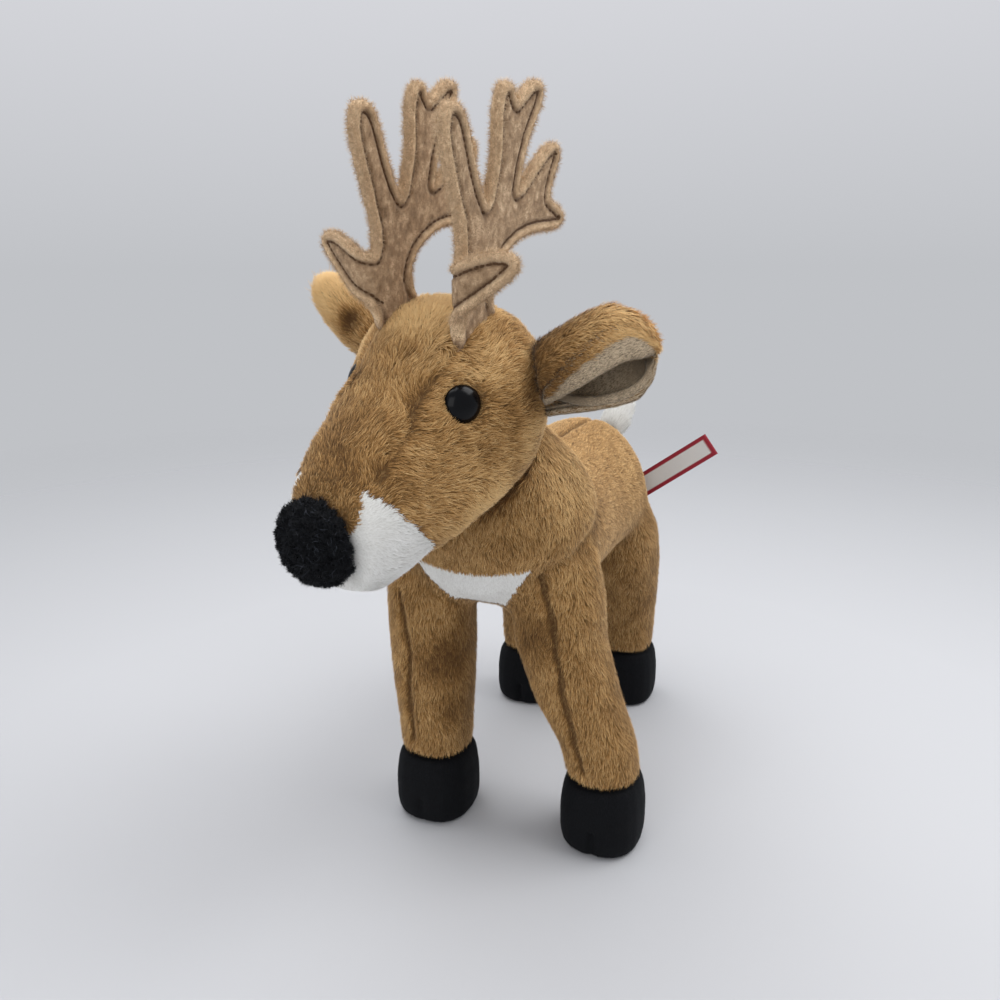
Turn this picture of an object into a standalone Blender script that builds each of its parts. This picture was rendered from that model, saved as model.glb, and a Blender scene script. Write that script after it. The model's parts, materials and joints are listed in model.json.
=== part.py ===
# Stuffed toy deer, standing, with felt antlers.
# Metres, +Z up. The deer faces -Y, and its own left side is +X.
# Every swelling form is a row of sections, whose sizes are shares of its own length, width and depth.

from math import ceil, cos, pi, radians, sin, tau

import bmesh
import bpy
from mathutils import Matrix, Vector

# Clearances and the overrun that every cut shares
SEAM_GAP = 0.0004
CUT_OVERRUN = 0.030
FACET_LENGTH = 0.0075
CUT_TOLERANCE = 0.000003
SHARP_EDGE = radians(45.0)

# Body
BELLY_HEIGHT = 0.101
TORSO_LENGTH = 0.188
TORSO_WIDTH = 0.092
TORSO_DEPTH = 0.070
CHEST_REACH = 0.056

# Neck: its seam with the torso is a flat ring, square to the neck's own axis
NECK_FOOT_REACH = 0.026
NECK_FOOT_HEIGHT = 0.148
NECK_LEAN = radians(32.0)
NECK_LENGTH = 0.060
NECK_WIDTH = 0.095
NECK_DEPTH = 0.071

# Head: place of the ear line's middle, and how the head is turned
HEAD_REACH = 0.063
HEAD_HEIGHT = 0.204
HEAD_OFFSET = 0.0008
HEAD_TURN = radians(-13.0)
HEAD_NOD = radians(8.2)
HEAD_TIP = radians(6.3)
HEAD_LENGTH = 0.106
HEAD_WIDTH = 0.077
HEAD_DEPTH = 0.086
SNOUT_REACH = 0.072
NOD_RANGE = radians(8.0)

# White muzzle: the corner of its seam on the cheek, and the corner at the jaw
MUZZLE_PEAK_REACH = 0.0655
MUZZLE_PEAK_DROP = 0.0125
MUZZLE_JAW_REACH = 0.037
MUZZLE_JAW_DROP = 0.046
MUZZLE_BRIDGE_DROP = 0.029

# Nose
NOSE_WIDTH = 0.0300
NOSE_HEIGHT = 0.0300
NOSE_DEPTH = 0.0200
NOSE_REACH = 0.0735
NOSE_DROP = 0.0305

# Eyes: a dome on a shank, held by a washer inside the head
EYE_DIAMETER = 0.0120
EYE_RISE = 0.0042
EYE_SEAT = 0.0010
EYE_SHANK_DIAMETER = 0.0034
EYE_SHANK_LENGTH = 0.0120
EYE_SPACING = 0.0488
EYE_REACH = 0.0270
EYE_HEIGHT = 0.0080
EYE_FACING = radians(62.0)
EYE_UPTURN = radians(10.0)
WASHER_DIAMETER = 0.0110
WASHER_THICKNESS = 0.0014
WASHER_DEPTH = 0.0050

# Ears
EAR_LENGTH = 0.052
EAR_HEIGHT = 0.035
EAR_CUP_DEPTH = 0.022
EAR_FUR_THICKNESS = 0.0030
EAR_LINING_THICKNESS = 0.0014
EAR_ROOT_OUT = 0.0272
EAR_SEAM_OUT = 0.0350
EAR_ROOT_SETBACK = 0.0040
EAR_ROOT_HEIGHT = 0.0055
EAR_RISE = radians(26.0)
EAR_SWEEP = radians(8.0)
EAR_TWISTS = {"left": radians(0.0), "right": radians(50.0)}
EAR_RANGE = radians(10.0)

# Antlers: two layers of felt, flat but for the brow tine, which curls outwards
ANTLER_HEIGHT = 0.074
FELT_THICKNESS = 0.0014
FELT_LAYER_GAP = 0.0003
ANTLER_SPACING = 0.0360
ANTLER_REACH = 0.0120
ANTLER_ROOT_HEIGHT = 0.0300
BROW_CURL_RADIUS = 0.0050
BROW_CURL = radians(104.0)
ANTLER_RANGE = radians(8.0)

# Legs: pairs of values are for the deer's own left and right side where the pose differs
HOOF_HEIGHT = 0.032
LEG_RANGE = radians(8.0)
FRONT_LEG_HEIGHT = 0.144
FRONT_LEG_WIDTH = 0.044
FRONT_LEG_DEPTH = 0.042
FRONT_LEG_REACH = 0.025
FRONT_HIP_SPACING = 0.060
FRONT_HIP_HEIGHT = 0.126
FRONT_LEFT_SPLAY = 0.0215
FRONT_RIGHT_SPLAY = -0.0020
FRONT_LEFT_STRIDE = 0.003
FRONT_RIGHT_STRIDE = -0.002
HIND_LEG_HEIGHT = 0.128
HIND_LEG_WIDTH = 0.044
HIND_LEG_DEPTH = 0.060
HIND_LEG_SETBACK = 0.101
HIND_HIP_SPACING = 0.052
HIND_HIP_HEIGHT = 0.122
HIND_SPLAY = 0.0005
HIND_LEFT_STRIDE = 0.013
HIND_RIGHT_STRIDE = -0.006
HOOF_WIDTH = 0.037
HOOF_DEPTH = 0.039
CLEFT_WIDTH = 0.0030
CLEFT_DEPTH = 0.0060
CLEFT_HEIGHT = 0.0140

# White panels of the chest and belly
CHEST_PANEL_DEPTH = 0.016
CHEST_PANEL_FOOT_WIDTH = 0.018
CHEST_PANEL_TOP_WIDTH = 0.056
CHEST_PANEL_FOOT_RISE = 0.0084
CHEST_PANEL_HEIGHT = 0.026
PANEL_SPACING = 0.0008
BELLY_PANEL_WIDTH = 0.028
BELLY_PANEL_DEPTH = 0.006
BELLY_PANEL_LENGTH = 0.146

# Tail
TAIL_LENGTH = 0.040
TAIL_WIDTH = 0.021
TAIL_THICKNESS = 0.014
TAIL_ROOT_SETBACK = 0.127
TAIL_ROOT_HEIGHT = 0.146
TAIL_OFFSET = 0.004
TAIL_LEAN = radians(30.0)
TAIL_SIDE_LEAN = radians(22.0)
TAIL_RANGE = radians(15.0)

# Sewn label, a folded ribbon
LABEL_LENGTH = 0.054
LABEL_WIDTH = 0.013
LABEL_THICKNESS = 0.0010
LABEL_TUCK = 0.003
LABEL_ROOT_OUT = 0.0260
LABEL_SETBACK = 0.1260
LABEL_HEIGHT = 0.1235
LABEL_RISE = radians(36.0)
LABEL_RANGE = radians(15.0)

# Sections along the torso: place, half width, lowest and highest point, and how much wider it is low down
TORSO_SHARES = (
    (0.000, 0.13, 0.40, 0.60, 0.00),
    (0.030, 0.29, 0.24, 0.80, 0.00),
    (0.090, 0.41, 0.12, 0.94, 0.00),
    (0.190, 0.49, 0.07, 1.00, 0.00),
    (0.300, 0.48, 0.04, 1.00, 0.05),
    (0.440, 0.45, 0.00, 0.98, 0.10),
    (0.580, 0.43, 0.00, 0.97, 0.16),
    (0.720, 0.43, 0.00, 0.98, 0.22),
    (0.830, 0.42, 0.00, 0.98, 0.26),
    (0.910, 0.37, 0.06, 0.95, 0.24),
    (0.965, 0.26, 0.20, 0.84, 0.20),
    (1.000, 0.13, 0.38, 0.66, 0.10),
)
# Sections up the neck: place, half width and half depth
NECK_SHARES = (
    (0.00, 0.500, 0.500),
    (0.20, 0.480, 0.490),
    (0.38, 0.430, 0.460),
    (0.56, 0.355, 0.415),
    (0.76, 0.290, 0.365),
    (1.00, 0.230, 0.280),
)
# Sections along the head from the snout's end: place, half width, bottom, top and fullness of the cheeks
HEAD_SHARES = (
    (0.000, 0.17, -0.46, -0.21, 0.00),
    (0.030, 0.25, -0.59, -0.12, 0.00),
    (0.110, 0.30, -0.64, -0.02, 0.00),
    (0.220, 0.33, -0.62, 0.08, 0.02),
    (0.330, 0.37, -0.56, 0.19, 0.06),
    (0.440, 0.42, -0.53, 0.30, 0.02),
    (0.560, 0.47, -0.51, 0.39, -0.06),
    (0.680, 0.485, -0.47, 0.42, -0.08),
    (0.790, 0.44, -0.39, 0.38, -0.02),
    (0.880, 0.34, -0.28, 0.28, 0.03),
    (0.950, 0.24, -0.17, 0.17, 0.00),
    (1.000, 0.11, -0.05, 0.06, 0.00),
)
# Up a front leg above the hoof, then a hind leg: place, half width, half depth and share of the splay
FRONT_LEG_SHARES = (
    (0.00, 0.400, 0.430, 1.00),
    (0.14, 0.410, 0.440, 0.86),
    (0.32, 0.455, 0.470, 0.44),
    (0.56, 0.480, 0.500, 0.06),
    (0.76, 0.475, 0.500, 0.00),
    (0.92, 0.380, 0.420, 0.00),
    (1.00, 0.200, 0.230, 0.00),
)
HIND_LEG_SHARES = (
    (0.00, 0.390, 0.300, 1.00),
    (0.16, 0.400, 0.310, 0.90),
    (0.36, 0.440, 0.380, 0.60),
    (0.60, 0.470, 0.470, 0.25),
    (0.80, 0.450, 0.430, 0.00),
    (0.94, 0.330, 0.290, 0.00),
    (1.00, 0.170, 0.150, 0.00),
)
# Sections up a hoof: place, half width and half depth
HOOF_SHARES = (
    (0.00, 0.420, 0.420),
    (0.07, 0.475, 0.470),
    (0.24, 0.500, 0.500),
    (0.60, 0.500, 0.500),
    (0.88, 0.470, 0.470),
    (1.00, 0.430, 0.440),
)
# Sections along the tail: place, half width and half thickness
TAIL_SHARES = (
    (0.00, 0.30, 0.34),
    (0.22, 0.42, 0.46),
    (0.50, 0.50, 0.50),
    (0.78, 0.40, 0.42),
    (0.93, 0.24, 0.26),
    (1.00, 0.10, 0.12),
)
# Along the ear: place, half height and half depth of the rolled section
EAR_SHARES = (
    (0.00, 0.34, 0.26),
    (0.20, 0.37, 0.40),
    (0.42, 0.43, 0.50),
    (0.62, 0.47, 0.50),
    (0.78, 0.47, 0.45),
    (0.90, 0.35, 0.34),
    (0.97, 0.20, 0.20),
    (1.00, 0.07, 0.08),
)
EAR_ROLL_START_AT_ROOT = radians(-42.0)
EAR_ROLL_START_AT_TIP = radians(66.0)
EAR_ROLL_END = radians(292.0)
# Antler outline, back and up from the root's middle, in shares of the antler's height
ANTLER_OUTLINE_SHARES = (
    (-0.08, -0.08), (-0.095, 0.02), (-0.21, 0.115), (-0.36, 0.225), (-0.44, 0.305), (-0.415, 0.355),
    (-0.33, 0.360), (-0.21, 0.320), (-0.110, 0.28), (-0.095, 0.40), (-0.130, 0.54), (-0.175, 0.69),
    (-0.200, 0.82), (-0.17, 0.915), (-0.10, 0.910), (-0.05, 0.84), (0.000, 0.68), (0.080, 0.515),
    (0.130, 0.61), (0.165, 0.74), (0.170, 0.88), (0.21, 0.985), (0.275, 0.985), (0.310, 0.920),
    (0.43, 0.995), (0.51, 0.985), (0.49, 0.895), (0.40, 0.770), (0.320, 0.555), (0.44, 0.63),
    (0.57, 0.72), (0.655, 0.735), (0.665, 0.67), (0.62, 0.59), (0.59, 0.505), (0.655, 0.465),
    (0.725, 0.41), (0.68, 0.36), (0.49, 0.365), (0.325, 0.345), (0.18, 0.265), (0.115, 0.15),
    (0.095, 0.02), (0.08, -0.08),
)
# The brow tine lies in front of this share and below that one
BROW_START_SHARE = -0.090
BROW_TOP_SHARE = 0.47

# Superellipse powers: the higher, the squarer
PLAIN_ROUNDNESS = 2.0
TORSO_ROUNDNESS = 2.25
HEAD_ROUNDNESS = 2.3
LEG_ROUNDNESS = 2.2
HOOF_ROUNDNESS = 2.5

# Facet counts
BODY_SIDES = 28
LEG_SIDES = 18
TAIL_SIDES = 12
EYE_SIDES = 16
EAR_ROLL_STEPS = 12
OUTLINE_STEPS = 2
NOSE_RINGS = 8
DOME_STEPS = 5
BROW_CURL_STEPS = 4
SWING_SPLITS = 2

# Directions in a piece's own frame
ACROSS = Vector((1.0, 0.0, 0.0))
BACKWARDS = Vector((0.0, 1.0, 0.0))
UPRIGHT = Vector((0.0, 0.0, 1.0))

# Finishes: colour and roughness
FINISHES = {
    "tan_plush": ((0.42, 0.24, 0.10), 0.95),
    "white_plush": ((0.88, 0.88, 0.86), 0.95),
    "black_plush": ((0.012, 0.012, 0.016), 0.95),
    "boucle": ((0.015, 0.015, 0.018), 1.0),
    "lining": ((0.36, 0.31, 0.25), 0.95),
    "felt": ((0.38, 0.25, 0.16), 1.0),
    "eye_plastic": ((0.005, 0.005, 0.006), 0.08),
    "washer_plastic": ((0.80, 0.80, 0.78), 0.40),
    "ribbon": ((0.86, 0.85, 0.83), 0.60),
}


def clear_scene():
    for item in list(bpy.data.objects):
        bpy.data.objects.remove(item, do_unlink=True)


def make_material(name, colour, roughness):
    """A plain opaque finish in one colour."""
    material = bpy.data.materials.new(name)
    material.use_nodes = True
    shader = material.node_tree.nodes["Principled BSDF"]
    shader.inputs["Base Color"].default_value = (*colour, 1.0)
    shader.inputs["Roughness"].default_value = roughness
    shader.inputs["Metallic"].default_value = 0.0
    return material


def mesh_object(name, points, faces):
    """A mesh object with its faces turned outwards."""
    mesh = bpy.data.meshes.new(name)
    mesh.from_pydata([tuple(p) for p in points], [], faces)
    shell = bmesh.new()
    shell.from_mesh(mesh)
    bmesh.ops.recalc_face_normals(shell, faces=shell.faces)
    shell.to_mesh(mesh)
    shell.free()
    mesh.shade_smooth()
    piece = bpy.data.objects.new(name, mesh)
    bpy.context.scene.collection.objects.link(piece)
    return piece


def loft(name, rings):
    """Joins rings of equal count into one closed form with flat ends."""
    count = len(rings[0])
    points = [p for ring in rings for p in ring]
    faces = []
    for row in range(len(rings) - 1):
        for i in range(count):
            j = (i + 1) % count
            near, far = row * count, (row + 1) * count
            faces.append((near + i, near + j, far + j, far + i))
    faces.append(tuple(range(count)))
    faces.append(tuple(range(len(points) - count, len(points))))
    return mesh_object(name, points, faces)


def oval(half_width, half_height, power, sides, widening=0.0):
    """Points of an oval about its middle; widening swells the lower half."""
    points = []
    for i in range(sides):
        angle = tau * i / sides
        across, up = cos(angle), sin(angle)
        across = abs(across) ** (2.0 / power) * (1 if across >= 0 else -1)
        up = abs(up) ** (2.0 / power) * (1 if up >= 0 else -1)
        points.append((half_width * across * (1.0 - widening * up), half_height * up))
    return points


def swell(piece, margin):
    """Moves every point of a form outwards along its normal."""
    normals = [v.normal.copy() for v in piece.data.vertices]
    for vertex, normal in zip(piece.data.vertices, normals):
        vertex.co += normal * margin
    return piece


def turn(angle, axis):
    """The 4 x 4 matrix of a turn about a main axis."""
    return Matrix.Rotation(angle, 4, axis)


def transformed(piece, matrix):
    piece.data.transform(matrix)
    if matrix.is_negative:
        piece.data.flip_normals()
    return piece


def copy_of(piece, name="tool"):
    twin = bpy.data.objects.new(name, piece.data.copy())
    bpy.context.scene.collection.objects.link(twin)
    return twin


def combine(piece, tool, operation):
    """Boolean of a piece with a tool, which is then removed."""
    modifier = piece.modifiers.new("cut", "BOOLEAN")
    modifier.operation = operation
    modifier.solver = "EXACT"
    modifier.object = tool
    bpy.context.view_layer.update()
    graph = bpy.context.evaluated_depsgraph_get()
    result = bpy.data.meshes.new_from_object(piece.evaluated_get(graph))
    piece.modifiers.clear()
    piece.data = result
    bpy.data.objects.remove(tool, do_unlink=True)
    return piece


def carve(piece, tool):
    return combine(piece, tool, "DIFFERENCE")


def keep_inside(piece, tool):
    return combine(piece, tool, "INTERSECT")


def clear_of(piece, neighbour, pivot, axis, reach):
    """Carves a piece so that it misses a neighbour all through its swing about an axis.

    The neighbour's skin moves out by the gap and by how far the swing carries it into the piece.
    """
    tool = copy_of(neighbour)
    shell = bmesh.new()
    shell.from_mesh(tool.data)
    bmesh.ops.subdivide_edges(shell, edges=shell.edges[:], cuts=SWING_SPLITS, use_grid_fill=True)
    shell.to_mesh(tool.data)
    shell.free()
    normals = [v.normal.copy() for v in tool.data.vertices]
    for vertex, normal in zip(tool.data.vertices, normals):
        arm = vertex.co - pivot
        arm -= axis * arm.dot(axis)
        slide = abs(axis.cross(arm).dot(normal)) * sin(reach) + arm.length * (1.0 - cos(reach))
        vertex.co += normal * (SEAM_GAP + slide)
    return keep_largest(carve(piece, tool))


def keep_largest(piece):
    """Drops the small offcuts that a carving leaves behind."""
    shell = bmesh.new()
    shell.from_mesh(piece.data)
    left = set(shell.verts)
    islands = []
    while left:
        stack = [left.pop()]
        island = set(stack)
        while stack:
            for edge in stack.pop().link_edges:
                for vertex in edge.verts:
                    if vertex in left:
                        left.remove(vertex)
                        island.add(vertex)
                        stack.append(vertex)
        islands.append(island)
    islands.sort(key=len, reverse=True)
    offcuts = [v for island in islands[1:] for v in island]
    bmesh.ops.delete(shell, geom=offcuts, context="VERTS")
    shell.to_mesh(piece.data)
    shell.free()
    return piece


def prism(outline, half_length):
    """A bar of the given (y, z) outline, lying along X."""
    rings = [[Vector((x, y, z)) for y, z in outline] for x in (-half_length, half_length)]
    return loft("tool", rings)


def widened(outline, margin):
    """An outline whose points run anticlockwise, with each edge moved out by a margin."""
    points = [Vector(p) for p in outline]
    moved = []
    for i, point in enumerate(points):
        before = (point - points[i - 1]).normalized()
        after = (points[(i + 1) % len(points)] - point).normalized()
        first = Vector((before.y, -before.x))
        outward = (first + Vector((after.y, -after.x))).normalized()
        moved.append(point + outward * margin / outward.dot(first))
    return moved


def finish(piece, name, material, joint):
    """Names a piece, gives it its material and hangs it on its joint's empty."""
    piece.name = name
    piece.data.name = name
    piece.data.materials.clear()
    piece.data.materials.append(material)
    piece.data.shade_smooth()
    piece.data.set_sharp_from_angle(angle=SHARP_EDGE)
    bpy.context.view_layer.update()
    piece.data.transform(joint.matrix_world.inverted())
    piece.parent = joint
    return piece


def joint_empty(name, place, parent):
    """An empty on a joint's axis; it is no piece of the toy."""
    empty = bpy.data.objects.new(name, None)
    bpy.context.scene.collection.objects.link(empty)
    empty.parent = parent
    bpy.context.view_layer.update()
    if parent:
        empty.matrix_parent_inverse = parent.matrix_world.inverted()
    empty.matrix_basis = place
    bpy.context.view_layer.update()
    return empty


# Torso: one stuffed form from chest to rump
def torso_form():
    rings = []
    for along, half, low, high, widening in TORSO_SHARES:
        y = along * TORSO_LENGTH - CHEST_REACH
        middle = BELLY_HEIGHT + (low + high) / 2 * TORSO_DEPTH
        half_depth = (high - low) / 2 * TORSO_DEPTH
        section = oval(half * TORSO_WIDTH, half_depth, TORSO_ROUNDNESS, BODY_SIDES, widening)
        rings.append([Vector((x, y, middle + z)) for x, z in section])
    return loft("torso_form", rings)


# Neck: a cone that leans forward; NECK_FRAME takes its own coordinates to the deer's
NECK_FOOT = Vector((0.0, -NECK_FOOT_REACH, NECK_FOOT_HEIGHT))
NECK_FRAME = Matrix.Translation(NECK_FOOT) @ turn(NECK_LEAN, "X")


def neck_form():
    rings = []
    for along, half_width, half_depth in NECK_SHARES:
        height = max(along * NECK_LENGTH, SEAM_GAP)
        section = oval(half_width * NECK_WIDTH, half_depth * NECK_DEPTH, TORSO_ROUNDNESS, BODY_SIDES)
        rings.append([Vector((x, y, height)) for x, y in section])
    return transformed(loft("neck", rings), NECK_FRAME)


def neck_room():
    """The half space above the neck's seam, as a block that is taken off the torso."""
    half = TORSO_LENGTH / 2
    corners = ((-half, -half), (half, -half), (half, half), (-half, half))
    rings = [[Vector((x, y, z)) for x, y in corners] for z in (0.0, TORSO_DEPTH)]
    return transformed(loft("tool", rings), NECK_FRAME)


# Head: its own frame is level, faces -Y and has the ears' line through its middle
HEAD_PLACE = Vector((HEAD_OFFSET, -HEAD_REACH, HEAD_HEIGHT))
HEAD_FRAME = (
    Matrix.Translation(HEAD_PLACE)
    @ turn(HEAD_TURN, "Z")
    @ turn(HEAD_NOD, "X")
    @ turn(HEAD_TIP, "Y")
)


def head_form():
    rings = []
    for along, half, low, high, widening in HEAD_SHARES:
        y = along * HEAD_LENGTH - SNOUT_REACH
        middle = (low + high) / 2 * HEAD_DEPTH
        half_depth = (high - low) / 2 * HEAD_DEPTH
        section = oval(half * HEAD_WIDTH, half_depth, HEAD_ROUNDNESS, BODY_SIDES, widening)
        rings.append([Vector((x, y, middle + z)) for x, z in section])
    return loft("head_form", rings)


def muzzle_block(margin):
    """The wedge of the head that the white muzzle fills, wider by a margin."""
    front = -SNOUT_REACH - CUT_OVERRUN
    floor = -HEAD_DEPTH
    outline = (
        (-MUZZLE_PEAK_REACH, -MUZZLE_PEAK_DROP),
        (-SNOUT_REACH, -MUZZLE_BRIDGE_DROP),
        (front, -MUZZLE_BRIDGE_DROP),
        (front, floor),
        (-MUZZLE_JAW_REACH + HEAD_DEPTH - MUZZLE_JAW_DROP, floor),
        (-MUZZLE_JAW_REACH, -MUZZLE_JAW_DROP),
    )
    return prism(widened(outline, margin), HEAD_WIDTH)


def nose_form():
    rings = []
    for i in range(1, NOSE_RINGS):
        angle = pi * i / NOSE_RINGS
        share = sin(angle) / 2
        section = oval(share * NOSE_WIDTH, share * NOSE_HEIGHT, PLAIN_ROUNDNESS, LEG_SIDES)
        y = -NOSE_REACH - NOSE_DEPTH / 2 * cos(angle)
        rings.append([Vector((x, y, z - NOSE_DROP)) for x, z in section])
    return loft("nose", rings)


# Eyes and their washers, turned about the shank's axis, which is local Z
def turned(name, profile):
    """A solid turned from (radius, height) points; both ends lie on the axis."""
    rings = []
    for radius, height in profile[1:-1]:
        rings.append([Vector((radius * cos(tau * i / EYE_SIDES), radius * sin(tau * i / EYE_SIDES), height))
                      for i in range(EYE_SIDES)])
    points = [p for ring in rings for p in ring]
    points += [Vector((0.0, 0.0, profile[0][1])), Vector((0.0, 0.0, profile[-1][1]))]
    first, last = len(points) - 2, len(points) - 1
    faces = []
    for i in range(EYE_SIDES):
        j = (i + 1) % EYE_SIDES
        faces.append((first, i, j))
        tail = (len(rings) - 1) * EYE_SIDES
        faces.append((last, tail + j, tail + i))
        for row in range(len(rings) - 1):
            near, far = row * EYE_SIDES, (row + 1) * EYE_SIDES
            faces.append((near + i, far + i, far + j, near + j))
    return mesh_object(name, points, faces)


def dome(radius, rise, steps):
    """Points of a dome's profile from its crown to its rim."""
    return [(radius * sin(pi / 2 * i / steps), rise * cos(pi / 2 * i / steps)) for i in range(steps + 1)]


def eye_form():
    radius = EYE_DIAMETER / 2
    shank = EYE_SHANK_DIAMETER / 2
    profile = dome(radius, EYE_RISE, DOME_STEPS)
    profile += [(radius, -EYE_SEAT), (shank, -EYE_SEAT)]
    profile += [(shank, -EYE_SHANK_LENGTH), (0.0, -EYE_SHANK_LENGTH)]
    return turned("eye", profile)


def eye_room():
    """The seat, the shank's hole and the washer's pocket, cut in one."""
    radius = EYE_DIAMETER / 2 + SEAM_GAP
    shank = EYE_SHANK_DIAMETER / 2 + SEAM_GAP
    rim = WASHER_DIAMETER / 2 + SEAM_GAP
    seat = -EYE_SEAT - SEAM_GAP
    pocket_top = -WASHER_DEPTH + SEAM_GAP
    pocket_floor = -WASHER_DEPTH - WASHER_THICKNESS - SEAM_GAP
    end = -EYE_SHANK_LENGTH - SEAM_GAP
    profile = dome(radius, EYE_RISE + CUT_OVERRUN, DOME_STEPS)
    profile += [(radius, seat), (shank, seat), (shank, pocket_top), (rim, pocket_top)]
    profile += [(rim, pocket_floor), (shank, pocket_floor), (shank, end), (0.0, end)]
    return turned("tool", profile)


def washer_form():
    """A flat ring round the shank."""
    hole = EYE_SHANK_DIAMETER / 2 + SEAM_GAP
    rim = WASHER_DIAMETER / 2
    low, high = -WASHER_DEPTH - WASHER_THICKNESS, -WASHER_DEPTH
    corners = ((hole, low), (rim, low), (rim, high), (hole, high))
    points = []
    for i in range(EYE_SIDES):
        angle = tau * i / EYE_SIDES
        points += [Vector((r * cos(angle), r * sin(angle), z)) for r, z in corners]
    faces = []
    for i in range(EYE_SIDES):
        j = (i + 1) % EYE_SIDES
        for k in range(len(corners)):
            m = (k + 1) % len(corners)
            near, far = i * len(corners), j * len(corners)
            faces.append((near + k, near + m, far + m, far + k))
    return mesh_object("washer", points, faces)


def eye_frame(side):
    place = Vector((side * EYE_SPACING / 2, -EYE_REACH, EYE_HEIGHT))
    facing = turn(side * EYE_FACING, "Z") @ turn(pi / 2 - EYE_UPTURN, "X")
    return Matrix.Translation(place) @ facing


# Ears: a leaf of fur fabric with a lining, rolled into a cup that opens forward and down; the right one
# hangs turned further down about its own length
def ear_form(outer, inner, twist):
    """The layer of the rolled ear between two depths under its fur side; layers thin out to the tip.

    Its faces are split along their shorter diagonals, so that two layers stay parallel.
    """
    rows = []
    for along, half_height, half_depth in EAR_SHARES:
        row = []
        start = EAR_ROLL_START_AT_ROOT + (EAR_ROLL_START_AT_TIP - EAR_ROLL_START_AT_ROOT) * along
        for depth in (outer, inner):
            arc = []
            for i in range(EAR_ROLL_STEPS + 1):
                angle = start + (EAR_ROLL_END - start) * i / EAR_ROLL_STEPS
                y = -half_depth * (EAR_CUP_DEPTH - 2 * depth) * cos(angle)
                z = half_height * (EAR_HEIGHT - 2 * depth) * sin(angle)
                arc.append(Vector((along * EAR_LENGTH, y, z)))
            row.append(arc)
        rows.append(row[0] + row[1][::-1])
    ear = loft("ear", rows)
    shell = bmesh.new()
    shell.from_mesh(ear.data)
    bmesh.ops.triangulate(shell, faces=shell.faces[:], quad_method="SHORT_EDGE")
    shell.to_mesh(ear.data)
    shell.free()
    lie = turn(EAR_SWEEP, "Z") @ turn(-EAR_RISE, "Y") @ turn(twist, "X")
    place = Matrix.Translation(Vector((EAR_ROOT_OUT, EAR_ROOT_SETBACK, EAR_ROOT_HEIGHT)))
    return transformed(ear, place @ lie)


# Antlers: a felt pattern cut out flat, its brow tine curled outwards about an upright line
def smooth_outline(shares, size):
    """A closed curve through the outline's points."""
    count = len(shares)
    curve = []
    for i in range(count):
        before, start, end, after = (Vector(shares[(i + k) % count]) * size for k in (-1, 0, 1, 2))
        for step in range(OUTLINE_STEPS):
            t = step / OUTLINE_STEPS
            curve.append(
                (start * 2 + (end - before) * t + (before * 2 - start * 5 + end * 4 - after) * t**2
                 + (start * 3 - end * 3 + after - before) * t**3) / 2
            )
    return curve


def curled(back, up, out):
    """Where a point of the flat pattern lies once the brow tine is curled."""
    start = BROW_START_SHARE * ANTLER_HEIGHT
    if back >= start or up > BROW_TOP_SHARE * ANTLER_HEIGHT:
        return Vector((out, back, up))
    run = start - back
    angle = min(run / BROW_CURL_RADIUS, BROW_CURL)
    rest = run - angle * BROW_CURL_RADIUS
    radius = BROW_CURL_RADIUS - out
    forward = radius * sin(angle) + rest * cos(angle)
    outward = BROW_CURL_RADIUS - radius * cos(angle) + rest * sin(angle)
    return Vector((outward, start - forward, up))


def antler_layer(inner, outer):
    """One felt layer between two distances out from the middle of the antler."""
    outline = smooth_outline(ANTLER_OUTLINE_SHARES, ANTLER_HEIGHT)
    sheet = bmesh.new()
    low = [sheet.verts.new((0.0, p.x, p.y)) for p in outline]
    sheet.faces.new(low)
    sheet.normal_update()
    bmesh.ops.triangulate(sheet, faces=sheet.faces[:])
    start = BROW_START_SHARE * ANTLER_HEIGHT
    pitch = BROW_CURL_RADIUS * BROW_CURL / BROW_CURL_STEPS
    for step in range(BROW_CURL_STEPS + 1):
        place = (0.0, start - step * pitch, 0.0)
        near = [f for f in sheet.faces if f.calc_center_median().z < BROW_TOP_SHARE * ANTLER_HEIGHT]
        geom = near + list({e for f in near for e in f.edges}) + list({v for f in near for v in f.verts})
        bmesh.ops.bisect_plane(sheet, geom=geom, plane_co=place, plane_no=BACKWARDS, dist=CUT_TOLERANCE)
    bmesh.ops.triangulate(sheet, faces=sheet.faces[:])
    sheet.verts.index_update()
    flat = [(v.co.y, v.co.z) for v in sheet.verts]
    faces = [tuple(v.index for v in f.verts) for f in sheet.faces]
    rim = [(e.link_loops[0].vert.index, e.link_loops[0].link_loop_next.vert.index)
           for e in sheet.edges if e.is_boundary]
    sheet.free()
    count = len(flat)
    points = [curled(back, up, inner) for back, up in flat] + [curled(back, up, outer) for back, up in flat]
    walls = [(a, b, b + count, a + count) for a, b in rim]
    backs = [tuple(i + count for i in face[::-1]) for face in faces]
    solid = mesh_object("antler", points, faces + backs + walls)
    place = Vector((ANTLER_SPACING / 2, -ANTLER_REACH, ANTLER_ROOT_HEIGHT))
    return transformed(solid, Matrix.Translation(place))


# Legs and hooves
def leg_form(shares, height, width, depth, foot, hip, side):
    """A stuffed leg from the hoof's seam up into the body, from its foot's place to its hip's."""
    rings = []
    for along, half_width, half_depth, splay in shares:
        section = oval(half_width * width, half_depth * depth, LEG_ROUNDNESS, LEG_SIDES)
        z = HOOF_HEIGHT + SEAM_GAP + along * (height - HOOF_HEIGHT)
        middle = hip.lerp(foot, splay)
        rings.append([Vector((side * middle.x + x, middle.y + y, z)) for x, y in section])
    return loft("leg", rings)


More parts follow.
